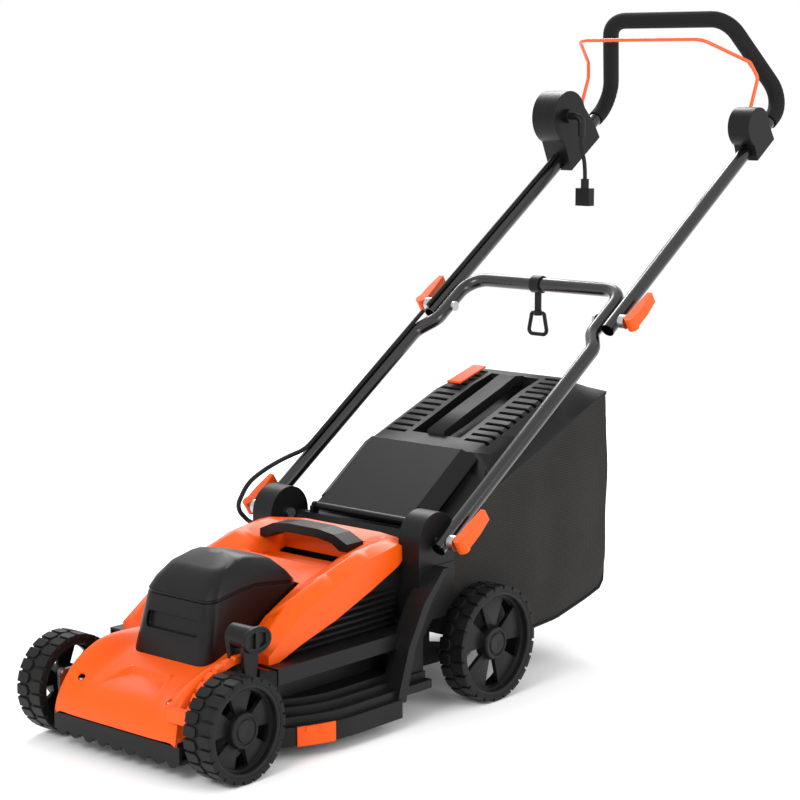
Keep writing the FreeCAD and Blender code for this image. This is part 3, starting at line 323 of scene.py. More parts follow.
def eased(value):
    """0 to 1 with a soft start and end."""
    t = min(1.0, max(0.0, value))
    return t * t * (3 - 2 * t)


def nose_rows():
    """Rows across the nose, from its front edge back, each with its skirt at both ends."""
    across = [-1 + 2 * i / NOSE_SPANS for i in range(NOSE_SPANS + 1)]
    rows = []
    for y, low, high in NOSE:
        half = NOSE_HALF + (NOSE_FLARE if y < -50 else 0)
        foot = min(high - 6, NOSE_SKIRT if y > -30 else NOSE_LIP)
        row = [at(-half - 0.6, y, foot), at(-half - 0.3, y, (foot + high) / 2)]
        for s in across:
            bow = NOSE_BOW * (1 - s * s) if y < -30 else 0
            roll = ROLL_DROP * max(0, abs(s) - ROLL_FROM) / (1 - ROLL_FROM)
            wing = eased((abs(s * half) - WING_FROM) / (WING_TO - WING_FROM))
            z = low + (high - low) * wing - roll
            row.append(at(s * half, max(NOSE_FRONT, y - bow + 1.0), z))
        row += [at(half + 0.3, y, (foot + high) / 2), at(half + 0.6, y, foot)]
        rows.append(row)
    return rows


nose = worked(grid_mesh("nose", nose_rows()), "nose",
              ("SUBSURF", {"levels": 2, "render_levels": 2}),
              ("SUBSURF", {"levels": 1, "render_levels": 1, "subdivision_type": "SIMPLE"}))
for vertex in nose.vertices:
    x, y = abs(vertex.co.x) / MM, (vertex.co.y - AXLE_Y) / MM
    if SCOOP_FRONT < y < SCOOP_BACK:
        t = (y - SCOOP_FRONT) / (SCOOP_BACK - SCOOP_FRONT)
        reach = SCOOP_WIDE + (SCOOP_NARROW - SCOOP_WIDE) * t
        inside = eased((reach - x) / SCOOP_EDGE) * eased((SCOOP_BACK - y) / SCOOP_EDGE)
        rib = RIB_HIGH * eased(1 - abs(x - reach - RIB_OUT) / RIB_HALF)
        vertex.co.z += (rib - SCOOP_DEPTH * inside) * t * MM
nose = worked(nose, "nose", ("SOLIDIFY", {"thickness": COWL_SKIN * MM, "offset": -1.0}))


def rod_mesh(name, start_point, end_point, radius, sides=24):
    """A closed round bar between two points in millimetres."""
    a, b = at(*start_point), at(*end_point)
    turn = (b - a).to_track_quat("Z", "Y")
    rows = []
    for centre in (a, b):
        rows.append([centre + turn @ Vector((radius * MM * math.cos(2 * math.pi * k / sides),
                                             radius * MM * math.sin(2 * math.pi * k / sides), 0))
                     for k in range(sides)])
    return grid_mesh(name, rows, True, True)


SCREW_X, SCREW_Y, SCREW_R = 86, -40, 5.0
nose = cut_by(nose, "nose", *[rod_mesh("hole", (side * SCREW_X, SCREW_Y, 40),
                                       (side * SCREW_X, SCREW_Y, 140), SCREW_R)
                              for side in (1, -1)])
show("nose_cover", nose, "chassis", cowl_abs, crease=40)


def merged_copy(node):
    """A copy of a CAD node's mesh with its loose triangles joined into clean faces."""
    form = bmesh.new()
    form.from_mesh(nodes[node].data)
    bmesh.ops.remove_doubles(form, verts=form.verts, dist=2e-6)
    bmesh.ops.dissolve_limit(form, angle_limit=math.radians(0.6), verts=form.verts,
                             edges=form.edges)
    made = bpy.data.meshes.new(node)
    form.to_mesh(made)
    form.free()
    return made


# The body starts where the nose ends, and its front shoulders fall to the nose's height.
BODY_FROM, SHOULDER_FROM, SHOULDER_TO, SHOULDER_FOOT, SHOULDER_LOW = 84.5, 84.0, 152.0, 110.0, 0.55
front_rows = [[at(x, y, z) for x, z in ((-200, 0), (200, 0), (200, 300), (-200, 300))]
              for y in (-90, BODY_FROM)]
body = cut_by(merged_copy("cowl"), "cowl_body", grid_mesh("front", front_rows, True, True))
for vertex in body.vertices:
    y, z = (vertex.co.y - AXLE_Y) / MM, vertex.co.z / MM
    if y < SHOULDER_TO and z > SHOULDER_FOOT:
        t = max(0.0, (y - SHOULDER_FROM) / (SHOULDER_TO - SHOULDER_FROM))
        share = SHOULDER_LOW + (1 - SHOULDER_LOW) * t
        vertex.co.z = (SHOULDER_FOOT + (z - SHOULDER_FOOT) * share) * MM
show("cowl_body", body, "chassis", cowl_abs, ["cowl"])
dress(grip_pp, "carry_grip")

# ---- Motor hood ------------------------------------------------------------------------------
# Black ABS over the motor, in two stages with a shut line between them and a finger recess in
# the sloping front.  It sits in the cowl's valley and unscrews from below.
hood_abs = moulded("abs_motor_hood", "#0b0b0c", 0.38, 0.7, 0.06, corner_mm=1.5, dust="#020202")


def rounded_rectangle(half_u, half_v, radius, steps=6):
    """Outline of a rectangle with round corners."""
    outline = []
    for corner, (su, sv) in enumerate(((1, 1), (-1, 1), (-1, -1), (1, -1))):
        for k in range(steps + 1):
            a = math.pi / 2 * (corner + k / steps)
            outline.append((su * (half_u - radius) + radius * math.cos(a),
                            sv * (half_v - radius) + radius * math.sin(a)))
    return outline


# Rings from the foot to the roof: front and back y, half widths there, heights at the front, at
# the ridge and at the back.
HOOD_RINGS = ((37, 235, 73, 58, 106, 142, 182), (36, 236, 75, 60, 125, 162, 200),
              (54, 233, 67, 57, 203, 214, 201), (56.5, 230.5, 64.5, 54.5, 204, 215, 202),
              (56.5, 230.5, 64.5, 54.5, 207, 218, 205), (54.5, 232, 66.5, 56.5, 208, 219, 206),
              (64, 220, 62, 53, 222, 234, 220), (80, 198, 51, 45, 239, 251, 239),
              (90, 188, 44, 38, 243, 255, 244), (120, 148, 14, 12, 254, 258, 256))
RIDGE_Y, RIDGE_Z, CORNER, STEPS, RUNS = 133.0, 258.5, 18.0, 6, 4


def hood_ring(y0, y1, half0, half1, z0, z1, z2):
    """One ring of the hood: a rounded rectangle, narrower at the back, whose height has a ridge."""
    half, reach = (half0 + half1) / 2, (y1 - y0) / 2
    outline = rounded_rectangle(half, reach, min(CORNER, 0.6 * half, 0.6 * reach), STEPS)
    ring = []
    for i, (u, v) in enumerate(outline):
        after = outline[(i + 1) % len(outline)]
        splits = RUNS if i % (STEPS + 1) == STEPS else 1
        for k in range(splits):
            x, y = u + (after[0] - u) * k / splits, y0 + reach + v + (after[1] - v) * k / splits
            x *= (half0 + (half1 - half0) * (y - y0) / (y1 - y0)) / half
            if y < RIDGE_Y:
                z = z0 + (z1 - z0) * (y - y0) / (RIDGE_Y - y0)
            else:
                z = z1 + (z2 - z1) * (y - RIDGE_Y) / (y1 - RIDGE_Y)
            ring.append(at(x, y, z))
    return ring


hood_rows = [hood_ring(*numbers) for numbers in HOOD_RINGS]
hood_rows.append([at(0, RIDGE_Y, RIDGE_Z)] * len(hood_rows[0]))
hood = worked(grid_mesh("hood", hood_rows, True), "hood",
              ("SOLIDIFY", {"thickness": COWL_SKIN * MM, "offset": -1.0}))
RECESS_Z, RECESS_DEPTH, RECESS_WIDE, RECESS_HALF = 170.0, 7.0, 50.0, 10.5
FACE_Y, FACE_FOOT, FACE_LEAN = 36.0, 125.0, 0.231


def recess_ring(depth, grow, radius):
    """Outline of the finger recess at a depth behind the hood's leaning front."""
    outline = rounded_rectangle(RECESS_WIDE + grow, RECESS_HALF + grow, radius)
    return [at(x, FACE_Y + FACE_LEAN * (RECESS_Z + w - FACE_FOOT) + depth, RECESS_Z + w)
            for x, w in outline]


recess = grid_mesh("recess", [recess_ring(-8.0, 1.5, 6), recess_ring(RECESS_DEPTH, 0.0, 6)],
                   True, True)
hood = cut_by(hood, "hood", recess)
back_rows = [recess_ring(RECESS_DEPTH + depth, 4.0, 8) for depth in (-2.1, 4.5)]
back_plate = cut_by(grid_mesh("recess_back", back_rows, True, True), "recess_back", recess)
show("hood_cover", joined("hood_cover", hood, back_plate), "chassis", hood_abs,
     ["motor_hood"], crease=32)

# ---- Height adjustment -----------------------------------------------------------------------
# A lever of glass-filled nylon runs along an orange toothed track on the nose and cranks both
# zinc-plated steel axles through a link rod.


def metal(name, code, roughness, scratch_mm):
    """Bare metal whose fine scuffs make its highlights streaky."""
    made, tree, surface = start(name)
    place = add(tree, "ShaderNodeTexCoord")
    scuff = add(tree, "ShaderNodeTexNoise", {"Scale": 1 / (scratch_mm * MM), "Detail": 5.0},
                {"Vector": place.outputs["Object"]})
    rough = add(tree, "ShaderNodeMapRange", {"From Min": 0.3, "From Max": 0.7,
                                             "To Min": roughness * 0.75, "To Max": roughness * 1.3},
                {"Value": scuff.outputs["Fac"]})
    bump = add(tree, "ShaderNodeBump", {"Strength": 0.15, "Distance": 0.05 * MM},
               {"Height": scuff.outputs["Fac"]})
    surface.inputs["Base Color"].default_value = linear(code)
    surface.inputs["Metallic"].default_value = 1.0
    tree.links.new(rough.outputs["Result"], surface.inputs["Roughness"])
    tree.links.new(bump.outputs["Normal"], surface.inputs["Normal"])
    return made


lever_nylon = moulded("nylon_lever", "#0b0b0c", 0.4, 0.8, 0.08, corner_mm=1.5)
zinc = metal("zinc_plate", "#b9bcbf", 0.32, 1.2)
dress(cowl_abs, "height_track")
dress(lever_nylon, "height_lever")


def prism(name, outline, low, high):
    """Solid between two planes across the machine; the outline is in (y, z) millimetres."""
    return grid_mesh(name, [[at(x, y, z) for y, z in outline] for x in (low, high)], True, True)


# The knob is an oval disc on a round neck; two windows in its face leave a bar to grip.
KNOB_Y, KNOB_Z, KNOB_X, KNOB_R, KNOB_OVAL = 45.0, 176.0, 157.0, 18.0, 1.4
BAR_HALF, WINDOW_WIDE, WINDOW_HIGH, WINDOW_LOW = 3.5, 12.0, 11.0, 7.0
knob_steps = ((KNOB_X - 12, 11), (KNOB_X - 2, 12.5), (KNOB_X - 1, KNOB_R - 1.5), (KNOB_X, KNOB_R),
              (KNOB_X + 5, KNOB_R), (KNOB_X + 6, KNOB_R - 1), (KNOB_X + 6, KNOB_R - 3),
              (KNOB_X + 4.5, KNOB_R - 4), (KNOB_X + 4.5, 0.01))
knob = grid_mesh("knob", [[at(x, KNOB_Y + KNOB_OVAL * r * math.cos(math.pi * k / 24),
                              KNOB_Z + r * math.sin(math.pi * k / 24)) for k in range(48)]
                          for x, r in knob_steps], True)
windows = []
for side in (1, -1):
    near, far = KNOB_Y + side * BAR_HALF, KNOB_Y + side * (BAR_HALF + WINDOW_WIDE)
    windows.append(prism("window", [(near, KNOB_Z - WINDOW_HIGH), (far, KNOB_Z - WINDOW_LOW),
                                    (far, KNOB_Z + WINDOW_LOW), (near, KNOB_Z + WINDOW_HIGH)],
                         KNOB_X + 1, KNOB_X + 8))
knob = cut_by(knob, "knob", *windows)
WEB_OUTLINE = ((-12, 0), (12, 0), (15, -30), (10, -62), (-8, -62), (-12, -30))
web = prism("web", [(KNOB_Y + u, KNOB_Z + w) for u, w in WEB_OUTLINE], KNOB_X - 15, KNOB_X - 9)
show("lever_handle", joined("lever_handle", knob, web), "lever", lever_nylon,
     ["lever_knob"])
dress(zinc, "front_axle", "rear_axle", "link_rod", "flap_hinge_pin", "bearings", "spindle",
      "blade_bolt", "pivot_bolts", "screws")

# ---- Wheels ----------------------------------------------------------------------------------
# Hard polypropylene wheels: a tread ring with two staggered rows of lugs is pressed over a rim
# with five wide spokes and a ringed hub cap, and each wheel turns freely on its axle stub.
tread_pp = moulded("polypropylene_tread", "#0a0a0a", 0.5, 0.8, 0.12, dust="#020202")
rim_pp = moulded("polypropylene_rim", "#101011", 0.4, 0.9, 0.08, dust="#020202")


def repeat_tree():
    """Nodes that copy a unit along a step, turn each copy about a pivot and give it a finish."""
    tree = bpy.data.node_groups.new("repeat_unit", "GeometryNodeTree")
    for label, kind in (("Geometry", "Geometry"), ("Unit", "Object"), ("Count", "Int"),
                        ("Step", "Vector"), ("Turn", "Vector"), ("Pivot", "Vector"),
                        ("Finish", "Material")):
        tree.interface.new_socket(label, in_out="INPUT", socket_type="NodeSocket" + kind)
    tree.interface.new_socket("Geometry", in_out="OUTPUT", socket_type="NodeSocketGeometry")
    given = add(tree, "NodeGroupInput")
    unit = add(tree, "GeometryNodeObjectInfo", {"transform_space": "ORIGINAL"},
               {"Object": given.outputs["Unit"]})
    line = add(tree, "GeometryNodeMeshLine", {"mode": "OFFSET"},
               {"Count": given.outputs["Count"], "Offset": given.outputs["Step"]})
    copies = add(tree, "GeometryNodeInstanceOnPoints", {},
                 {"Points": line.outputs["Mesh"], "Instance": unit.outputs["Geometry"]})
    number = add(tree, "GeometryNodeInputIndex")
    angle = add(tree, "ShaderNodeVectorMath", {"operation": "SCALE"},
                {0: given.outputs["Turn"], "Scale": number.outputs["Index"]})
    turned = add(tree, "GeometryNodeRotateInstances", {"Local Space": False},
                 {"Instances": copies.outputs["Instances"], "Rotation": angle.outputs["Vector"],
                  "Pivot Point": given.outputs["Pivot"]})
    solid = add(tree, "GeometryNodeRealizeInstances", {}, {"Geometry": turned.outputs["Instances"]})
    finish = add(tree, "GeometryNodeSetMaterial", {},
                 {"Geometry": solid.outputs["Geometry"], "Material": given.outputs["Finish"]})
    add(tree, "NodeGroupOutput", {}, {"Geometry": finish.outputs["Geometry"]})
    return tree


repeat = repeat_tree()


def repeated(name, unit, count, material, step=(0, 0, 0), turn=(0, 0, 0), pivot=(0, 0, 0)):
    """The unit copied by the tree, as one plain mesh."""
    seed = bpy.data.objects.new(name + "_unit", unit)
    host = bpy.data.objects.new(name, bpy.data.meshes.new(name))
    for thing in (seed, host):
        scene.collection.objects.link(thing)
    modifier = host.modifiers.new("repeat", "NODES")
    modifier.node_group = repeat
    sockets = {s.name: s.identifier for s in repeat.interface.items_tree if s.in_out == "INPUT"}
    for label, value in (("Unit", seed), ("Count", count), ("Step", [float(v) for v in step]),
                         ("Turn", [float(v) for v in turn]), ("Pivot", [float(v) for v in pivot]),
                         ("Finish", material)):
        modifier[sockets[label]] = value
    graph = bpy.context.evaluated_depsgraph_get()
    made = bpy.data.meshes.new_from_object(host.evaluated_get(graph))
    for thing in (host, seed):
        bpy.data.objects.remove(thing)
    return made


def lathe(name, profile, centre, segments=96):
    """A closed profile in (x, radius) turned about the wheel's axle."""
    rows = []
    for k in range(segments + 1):
        a = 2 * math.pi * k / segments
        rows.append([at(x, centre[0] + r * math.cos(a), centre[1] + r * math.sin(a))
                     for x, r in profile])
    return grid_mesh(name, rows, closed=True)


def flip(mesh):
    """The mirror image across the middle of the machine, its faces turned outward again."""
    mesh.transform(Matrix.Scale(-1, 4, (1, 0, 0)))
    mesh.flip_normals()
    return mesh


RING_DEEP, TREAD_DEEP, LUGS, SPOKES = 9.5, 3.4, 24, 5


def tyre_mesh(x_in, x_out, centre, radius, side):
    """The tread ring: a bed and two staggered rows of pointed lugs that meet in the middle."""
    lip, bed = radius - RING_DEEP, radius - TREAD_DEEP
    parts = [lathe("bed", [(x_in + 0.5, lip), (x_in + 0.5, bed - 2), (x_in + 3, bed),
                           (x_out - 3, bed), (x_out - 0.5, bed - 2), (x_out - 0.5, lip)], centre)]
    pitch = 2 * math.pi / LUGS
    across, along = (x_out - x_in) * 0.47, radius * pitch * 0.395
    for row, (edge, inward) in enumerate(((x_out, -1), (x_in, 1))):
        foot, top = [], []
        outline = [(0, -along), (across - along * 0.8, -along),
                   (across - along * 0.2, -along * 0.75), (across, 0),
                   (across - along * 0.2, along * 0.75), (across - along * 0.8, along), (0, along)]
        for u, v in outline:
            for wall, height, draft in ((foot, bed - 3.5, 0.8), (top, radius - 0.1, 0)):
                x = edge + inward * (u + (draft if u > 0 else 0))
                y = centre[0] + v * (1 + (0.06 if wall is foot else 0))
                wall.append(at(x, y, centre[1] + height - (v * v) / (2 * radius)))
        unit = worked(grid_mesh("lug", [foot, top], True, True), "lug",
                      ("BEVEL", {"width": 0.7 * MM, "segments": 1, "limit_method": "ANGLE"}))
        unit.transform(Matrix.Translation(at(0, *centre)) @ Matrix.Rotation(row * pitch / 2, 4, "X")
                       @ Matrix.Translation(-at(0, *centre)))
        parts.append(repeated("lugs", unit, LUGS, tread_pp, turn=(pitch, 0, 0),
                              pivot=at(0, *centre)))
    made = joined("tyre", *parts)
    return made if side > 0 else flip(made)


def rim_mesh(x_in, x_out, centre, radius, side):
    """The rim: a barrel, a ring inside it, five spokes that widen outward, and a stepped hub."""
    lip = radius - RING_DEEP
    parts = [lathe("barrel", [(x_out - 1, lip), (x_out - 0.6, lip - 1.5), (x_out - 1, lip - 3.5),
                              (x_out - 2.5, lip - 5), (x_out - 8, lip - 5.6), (x_in + 6, lip - 6.5),
                              (x_in + 1, lip - 5), (x_in + 1, lip)], centre),
             lathe("ring", [(x_out - 10, lip - 5), (x_out - 10, lip - 8.5), (x_out - 12, lip - 9.5),
                            (x_out - 19, lip - 9.5), (x_out - 19, lip - 5)], centre),
             lathe("hub", [(x_out - 3.2, 0.01), (x_out - 2.5, 3), (x_out - 2.5, 14.5),
                           (x_out - 4.5, 15.5), (x_out - 5, 18), (x_out - 3.4, 19),
                           (x_out - 3.0, 21.5), (x_out - 4.5, 23.4), (x_out - 9, 25),
                           (x_out - 23, 25), (x_out - 24, 14), (x_in + 3, 13), (x_in + 3, 6.2),
                           (x_out - 4.6, 6.2), (x_out - 4.6, 0.01)], centre)]
    a, b = 9.5, 9.5 + (lip - 30) * 0.42
    outline = [(-a, 22), (a, 22), (b, lip - 7), (b * 0.4, lip - 5.5), (-b * 0.4, lip - 5.5),
               (-b, lip - 7)]
    rows = [[at(x, centre[0] + u * s, centre[1] + v) for u, v in outline]
            for x, s in ((x_out - 20, 0.96), (x_out - 12.5, 1.0))]
    spoke = worked(grid_mesh("spoke", rows, True, True), "spoke",
                   ("BEVEL", {"width": 1.2 * MM, "segments": 2, "limit_method": "ANGLE"}))
    parts.append(repeated("spokes", spoke, SPOKES, rim_pp, turn=(2 * math.pi / SPOKES, 0, 0),
                          pivot=at(0, *centre)))
    made = joined("rim", *parts)
    return made if side > 0 else flip(made)


for word, side in (("left", 1), ("right", -1)):
    for end in ("front", "rear"):
        name = end + "_" + word
        low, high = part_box(name + "_tyre")
        centre = ((low.y + high.y) / 2 / MM - AXLE_Y / MM, (low.z + high.z) / 2 / MM)
        inside, outside = sorted((abs(low.x) / MM, abs(high.x) / MM))
        radius = (high.z - low.z) / 2 / MM
        wheel_body = "wheel_" + name
        show(name + "_tread", tyre_mesh(inside, outside, centre, radius, side), wheel_body,
             tread_pp, [name + "_tyre"], crease=30)
        show(name + "_wheel", rim_mesh(inside, outside, centre, radius, side), wheel_body,
             rim_pp, [name + "_rim"], crease=30)

# ---- Motor, belt and blade -------------------------------------------------------------------
# A universal motor stands on the belt cover and drives the blade's spindle through a ribbed
# rubber belt; the blade is painted spring steel with a ground edge.
lamination = metal("electrical_steel", "#6d6f72", 0.42, 0.5)
turned_aluminium = metal("turned_aluminium", "#c9cacc", 0.25, 0.6)
belt_rubber = moulded("ribbed_belt_rubber", "#121212", 0.75, 0.8, 0.1, corner_mm=0.2)


def coated(name, code, roughness, peel_mm, coat=0.4):
    """Powder coat: a hard film with a faint orange peel in its reflections."""
    made, tree, surface = start(name)
    place = add(tree, "ShaderNodeTexCoord")
    peel = add(tree, "ShaderNodeTexNoise", {"Scale": 1 / (peel_mm * MM), "Detail": 1.0},
               {"Vector": place.outputs["Object"]})
    handled = add(tree, "ShaderNodeTexNoise", {"Scale": 14.0, "Detail": 3.0},
                  {"Vector": place.outputs["Object"]})
    bump = add(tree, "ShaderNodeBump", {"Strength": 0.25, "Distance": 0.04 * MM},
               {"Height": peel.outputs["Fac"]})
    rough = add(tree, "ShaderNodeMapRange",
                {"From Min": 0.3, "From Max": 0.7,
                 "To Min": roughness - 0.04, "To Max": roughness + 0.06},
                {"Value": handled.outputs["Fac"]})
    surface.inputs["Base Color"].default_value = linear(code)
    surface.inputs["Coat Weight"].default_value = coat
    surface.inputs["Coat Roughness"].default_value = 0.12
    tree.links.new(rough.outputs["Result"], surface.inputs["Roughness"])
    tree.links.new(bump.outputs["Normal"], surface.inputs["Normal"])
    return made


blade_paint = coated("blade_paint", "#141415", 0.4, 1.2, coat=0.1)
dress(lamination, "motor_stator", "armature")
dress(turned_aluminium, "motor_pulley", "driven_pulley")
dress(belt_rubber, "drive_belt")
dress(blade_paint, "blade")

# ---- Rear flap and handle hubs ---------------------------------------------------------------
# Black polypropylene again: the flap closes the grass tunnel on a steel pin, and two round hubs
# on the deck's rear columns take the handle's quick-release bolts.
hub_pp = moulded("polypropylene_hub", "#0d0d0e", 0.42, 0.8, 0.08, corner_mm=1.5, dust="#020202")
dress(hub_pp, "rear_flap", "handle_hubs")

# ---- Grass box lid ---------------------------------------------------------------------------
# A rigid moulded lid with a long carrying bar over a deep recess, two rows of air slots, and a
# light orange flap on the far side that lifts while air still flows.
lid_pp = moulded("polypropylene_lid", "#101011", 0.46, 0.9, 0.12, dust="#030303")
SLOTS, SLOT_FROM, SLOT_PITCH, SLOT_WIDE, SLOT_IN, SLOT_OUT = 13, 590.0, 16.5, 7.0, 58.0, 104.0
LID_SLOPE, LID_TOP_Y, LID_TOP_Z, SLOT_BELOW, SLOT_ABOVE = 0.375, 640.0, 372.0, 24.0, 22.0
slots = []
for i in range(SLOTS):
    y = SLOT_FROM + SLOT_PITCH * i
    top = LID_TOP_Z + LID_SLOPE * (y - LID_TOP_Y)
    outline = ((SLOT_IN, y), (SLOT_OUT, y), (SLOT_OUT, y + SLOT_WIDE), (SLOT_IN, y + SLOT_WIDE))
    for side in (1, -1):
        rows = [[at(side * x, w, z) for x, w in outline]
                for z in (top - SLOT_BELOW, top + SLOT_ABOVE)]
        slots.append(grid_mesh("slot", rows, True, True))
show("lid_shell", cut_by(merged_copy("box_lid"), "lid_shell", joined("slots", *slots)), "grass_box",
     lid_pp, ["box_lid"], crease=32)
dress(comb_pp, "fill_indicator")

# ---- Grass bag -------------------------------------------------------------------------------
# A sack of loosely woven polyester under the lid.  Its panels hang between the bound seams, so the
# sides belly out a little and the floor sags; a dark tape binds the edges of both sides.
# The bag's outline in (y, z) from its mouth under the floor to its back, and the lid's flange.
BAG_HALF, BAG_BACK_Y, MOUTH_Y, FLOOR_TOP = 142.0, 834, 460, 112
BAG_LINE = ((447, 226), (447, 98), (520, 81), (580, 72), (640, 67), (713, 71), (790, 88), (826, 98),
            (836, 110), (837, 200), (836, 300), (834, 400))
FLANGE = ((452, 229), (558, 291), (562, 293), (640, 325), (740, 367), (803, 391), (834, 403))


def along_line(line, count):
    """Points at equal steps along a line of (y, z) points."""
    steps = [math.dist(a, b) for a, b in zip(line, line[1:])]
    total, made = sum(steps), []
    for k in range(count):
        goal, i = total * k / (count - 1), 0
        while i < len(steps) - 1 and goal > steps[i]:
            goal -= steps[i]
            i += 1
        t = min(1.0, goal / steps[i])
        made.append(tuple(a + (b - a) * t for a, b in zip(line[i], line[i + 1])))
    return made


def flange_at(y):
    """The point of the lid's flange above y."""
    y = min(FLANGE[-1][0], max(FLANGE[0][0], y))
    for (y0, z0), (y1, z1) in zip(FLANGE, FLANGE[1:]):
        if y0 <= y <= y1:
            return (y, z0 + (z1 - z0) * (y - y0) / (y1 - y0))


def wave(*numbers):
    """A slow ripple that is the same on every run."""
    return sum(math.sin(n * f + p)
               for n, f, p in zip(numbers, (0.043, 0.031, 0.057), (0.4, 1.7, 2.9)))


LENGTH_STEPS, SIDE_STEPS, FLOOR_STEPS = 76, 20, 26
BELLY, BELLY_RIPPLE, SAG, SAG_RIPPLE, SEAM_IN = 5.5, 1.6, 3.5, 0.9, 2.5
bag_rows = []
for k, (y, z) in enumerate(along_line(BAG_LINE, LENGTH_STEPS)):
    run = k / (LENGTH_STEPS - 1)
    fy, fz = flange_at(y if 110 > z or y < 500 else BAG_BACK_Y)
    if y < MOUTH_Y:
        fy, fz = FLANGE[0]
    free = min(1.0, max(0.0, (y - 585) / 60)) * 0.6 + 0.4
    row = []
    for side in (-1, 1):
        flank = []
        for j in range(SIDE_STEPS + 1):
            t = j / SIDE_STEPS
            py, pz = fy + (y - fy) * t, fz + (z - fz) * t
            hang = math.sin(math.pi * t) ** 0.8 * math.sin(math.pi * min(1, max(0, run))) ** 0.5
            belly = hang * free * (BELLY + BELLY_RIPPLE * wave(py, pz * 1.4, 3))
            corner = SEAM_IN * max(0, t - 0.9) / 0.1
            flank.append(at(side * (BAG_HALF + belly - corner), py, pz))
        if side < 0:
            row = flank
        else:
            for j in range(1, FLOOR_STEPS):
                t = j / FLOOR_STEPS
                x = (BAG_HALF - SEAM_IN) * (2 * t - 1)
                drop = math.sin(math.pi * t) ** 0.7
                low_side = 1.0 if z < FLOOR_TOP and 470 < y < 825 else 0.0
                rear_side = 1.0 if z >= FLOOR_TOP and y > 800 else 0.0
                sag = drop * (SAG + SAG_RIPPLE * wave(x, y, z))
                row.append(at(x, y + rear_side * sag * 0.6, z - low_side * sag))
            row += list(reversed(flank))
    bag_rows.append(row)
bag_mesh = grid_mesh("bag", bag_rows)
bag_map = bag_mesh.uv_layers.new(name="cloth")
for face in bag_mesh.polygons:
    for corner in face.loop_indices:
        p = bag_mesh.vertices[bag_mesh.loops[corner].vertex_index].co
        n = face.normal
        if abs(n.x) > 0.6:
            bag_map.data[corner].uv = (p.y, p.z)
        elif abs(n.y) > 0.6:
            bag_map.data[corner].uv = (p.x, p.z)
        else:
            bag_map.data[corner].uv = (p.x, p.y)

# Polyester mesh cloth: 1 mm threads, drawn 4 mm apart so that the weave shows at arm's length.
bag_cloth, cloth_tree, cloth_surface = start("woven_polyester")
THREAD = 4.0 * MM
cloth_map = add(cloth_tree, "ShaderNodeUVMap", {"uv_map": "cloth"})
threads = []
for axis in ("X", "Y"):
    threads.append(add(cloth_tree, "ShaderNodeTexWave",
                       {"wave_type": "BANDS", "bands_direction": axis, "Scale": 0.314 / THREAD,
                        "Distortion": 0.25, "Detail": 1.0}, {"Vector": cloth_map.outputs["UV"]}))
weave = add(cloth_tree, "ShaderNodeMath", {"operation": "MAXIMUM"},
            {0: threads[0].outputs["Fac"], 1: threads[1].outputs["Fac"]})
place = add(cloth_tree, "ShaderNodeTexCoord")
fade = add(cloth_tree, "ShaderNodeTexNoise", {"Scale": 16.0, "Detail": 4.0},
           {"Vector": place.outputs["Object"]})
shade = add(cloth_tree, "ShaderNodeMath", {"operation": "MULTIPLY_ADD", 1: 0.75, 2: 0.0},
            {0: weave.outputs["Value"]})
blend = add(cloth_tree, "ShaderNodeMath", {"operation": "MULTIPLY_ADD", 1: 0.4},
            {0: fade.outputs["Fac"], 2: shade.outputs["Value"]})
cloth_tone = add(cloth_tree, "ShaderNodeMix", {"data_type": "RGBA"},
                 {"Factor": blend.outputs["Value"]})
cloth_tone.inputs[6].default_value = linear("#0a0909")
cloth_tone.inputs[7].default_value = linear("#2c2a28")
cloth_bump = add(cloth_tree, "ShaderNodeBump", {"Strength": 0.5, "Distance": 0.4 * MM},
                 {"Height": weave.outputs["Value"]})
cloth_tree.links.new(cloth_tone.outputs[2], cloth_surface.inputs["Base Color"])
cloth_tree.links.new(cloth_bump.outputs["Normal"], cloth_surface.inputs["Normal"])
cloth_surface.inputs["Roughness"].default_value = 0.85
cloth_surface.inputs["Sheen Weight"].default_value = 0.03
cloth_surface.inputs["Specular IOR Level"].default_value = 0.2
bag_mesh = worked(bag_mesh, "bag", ("SOLIDIFY", {"thickness": 1.0 * MM, "offset": -1.0}))
bag = show("bag", bag_mesh, "grass_box", bag_cloth, ["grass_bag"], crease=60)


def pipe(name, points, radius, sides=10):
    """A closed round tube through points in millimetres, its ends filled."""
    places = [at(*p) for p in points]
    rows = []
    for i, here in enumerate(places):
        ahead = places[min(i + 1, len(places) - 1)] - places[max(i - 1, 0)]
        turn = ahead.to_track_quat("Z", "X")
        rows.append([here + turn @ Vector((radius * MM * math.cos(2 * math.pi * k / sides),
                                           radius * MM * math.sin(2 * math.pi * k / sides), 0))
                     for k in range(sides)])
    return grid_mesh(name, rows, True, True)


tape = moulded("polyester_binding", "#151514", 0.8, 1.0, 0.2, corner_mm=0.2)
TAPE_R, TAPE_IN, TAPE_POINTS = 2.6, 1.5, 60
bindings = [pipe("binding", [(side * (BAG_HALF - TAPE_IN), y, z)
                             for y, z in along_line(BAG_LINE, TAPE_POINTS)], TAPE_R)
            for side in (1, -1)]
binding = show("bag_binding", joined("bag_binding", *bindings), "grass_box", tape)

# ---- Handle tubes, foam and quick-release levers ---------------------------------------------
# Steel tube with gloss black powder coat, in a lower U and an upper loop that folds on it.  The
# top of the loop wears a sleeve of closed-cell foam, and four orange cam levers lock the joints.
tube_coat = coated("black_powder_coat", "#070708", 0.24, 1.6)
bail_coat = coated("orange_coated_rod", "#e65005", 0.3, 1.4, coat=0.2)
dress(tube_coat, "lower_tube", "upper_tube")
dress(cowl_abs, "lower_lever_left", "lower_lever_right", "upper_lever_left", "upper_lever_right")
dress(bail_coat, "bail")

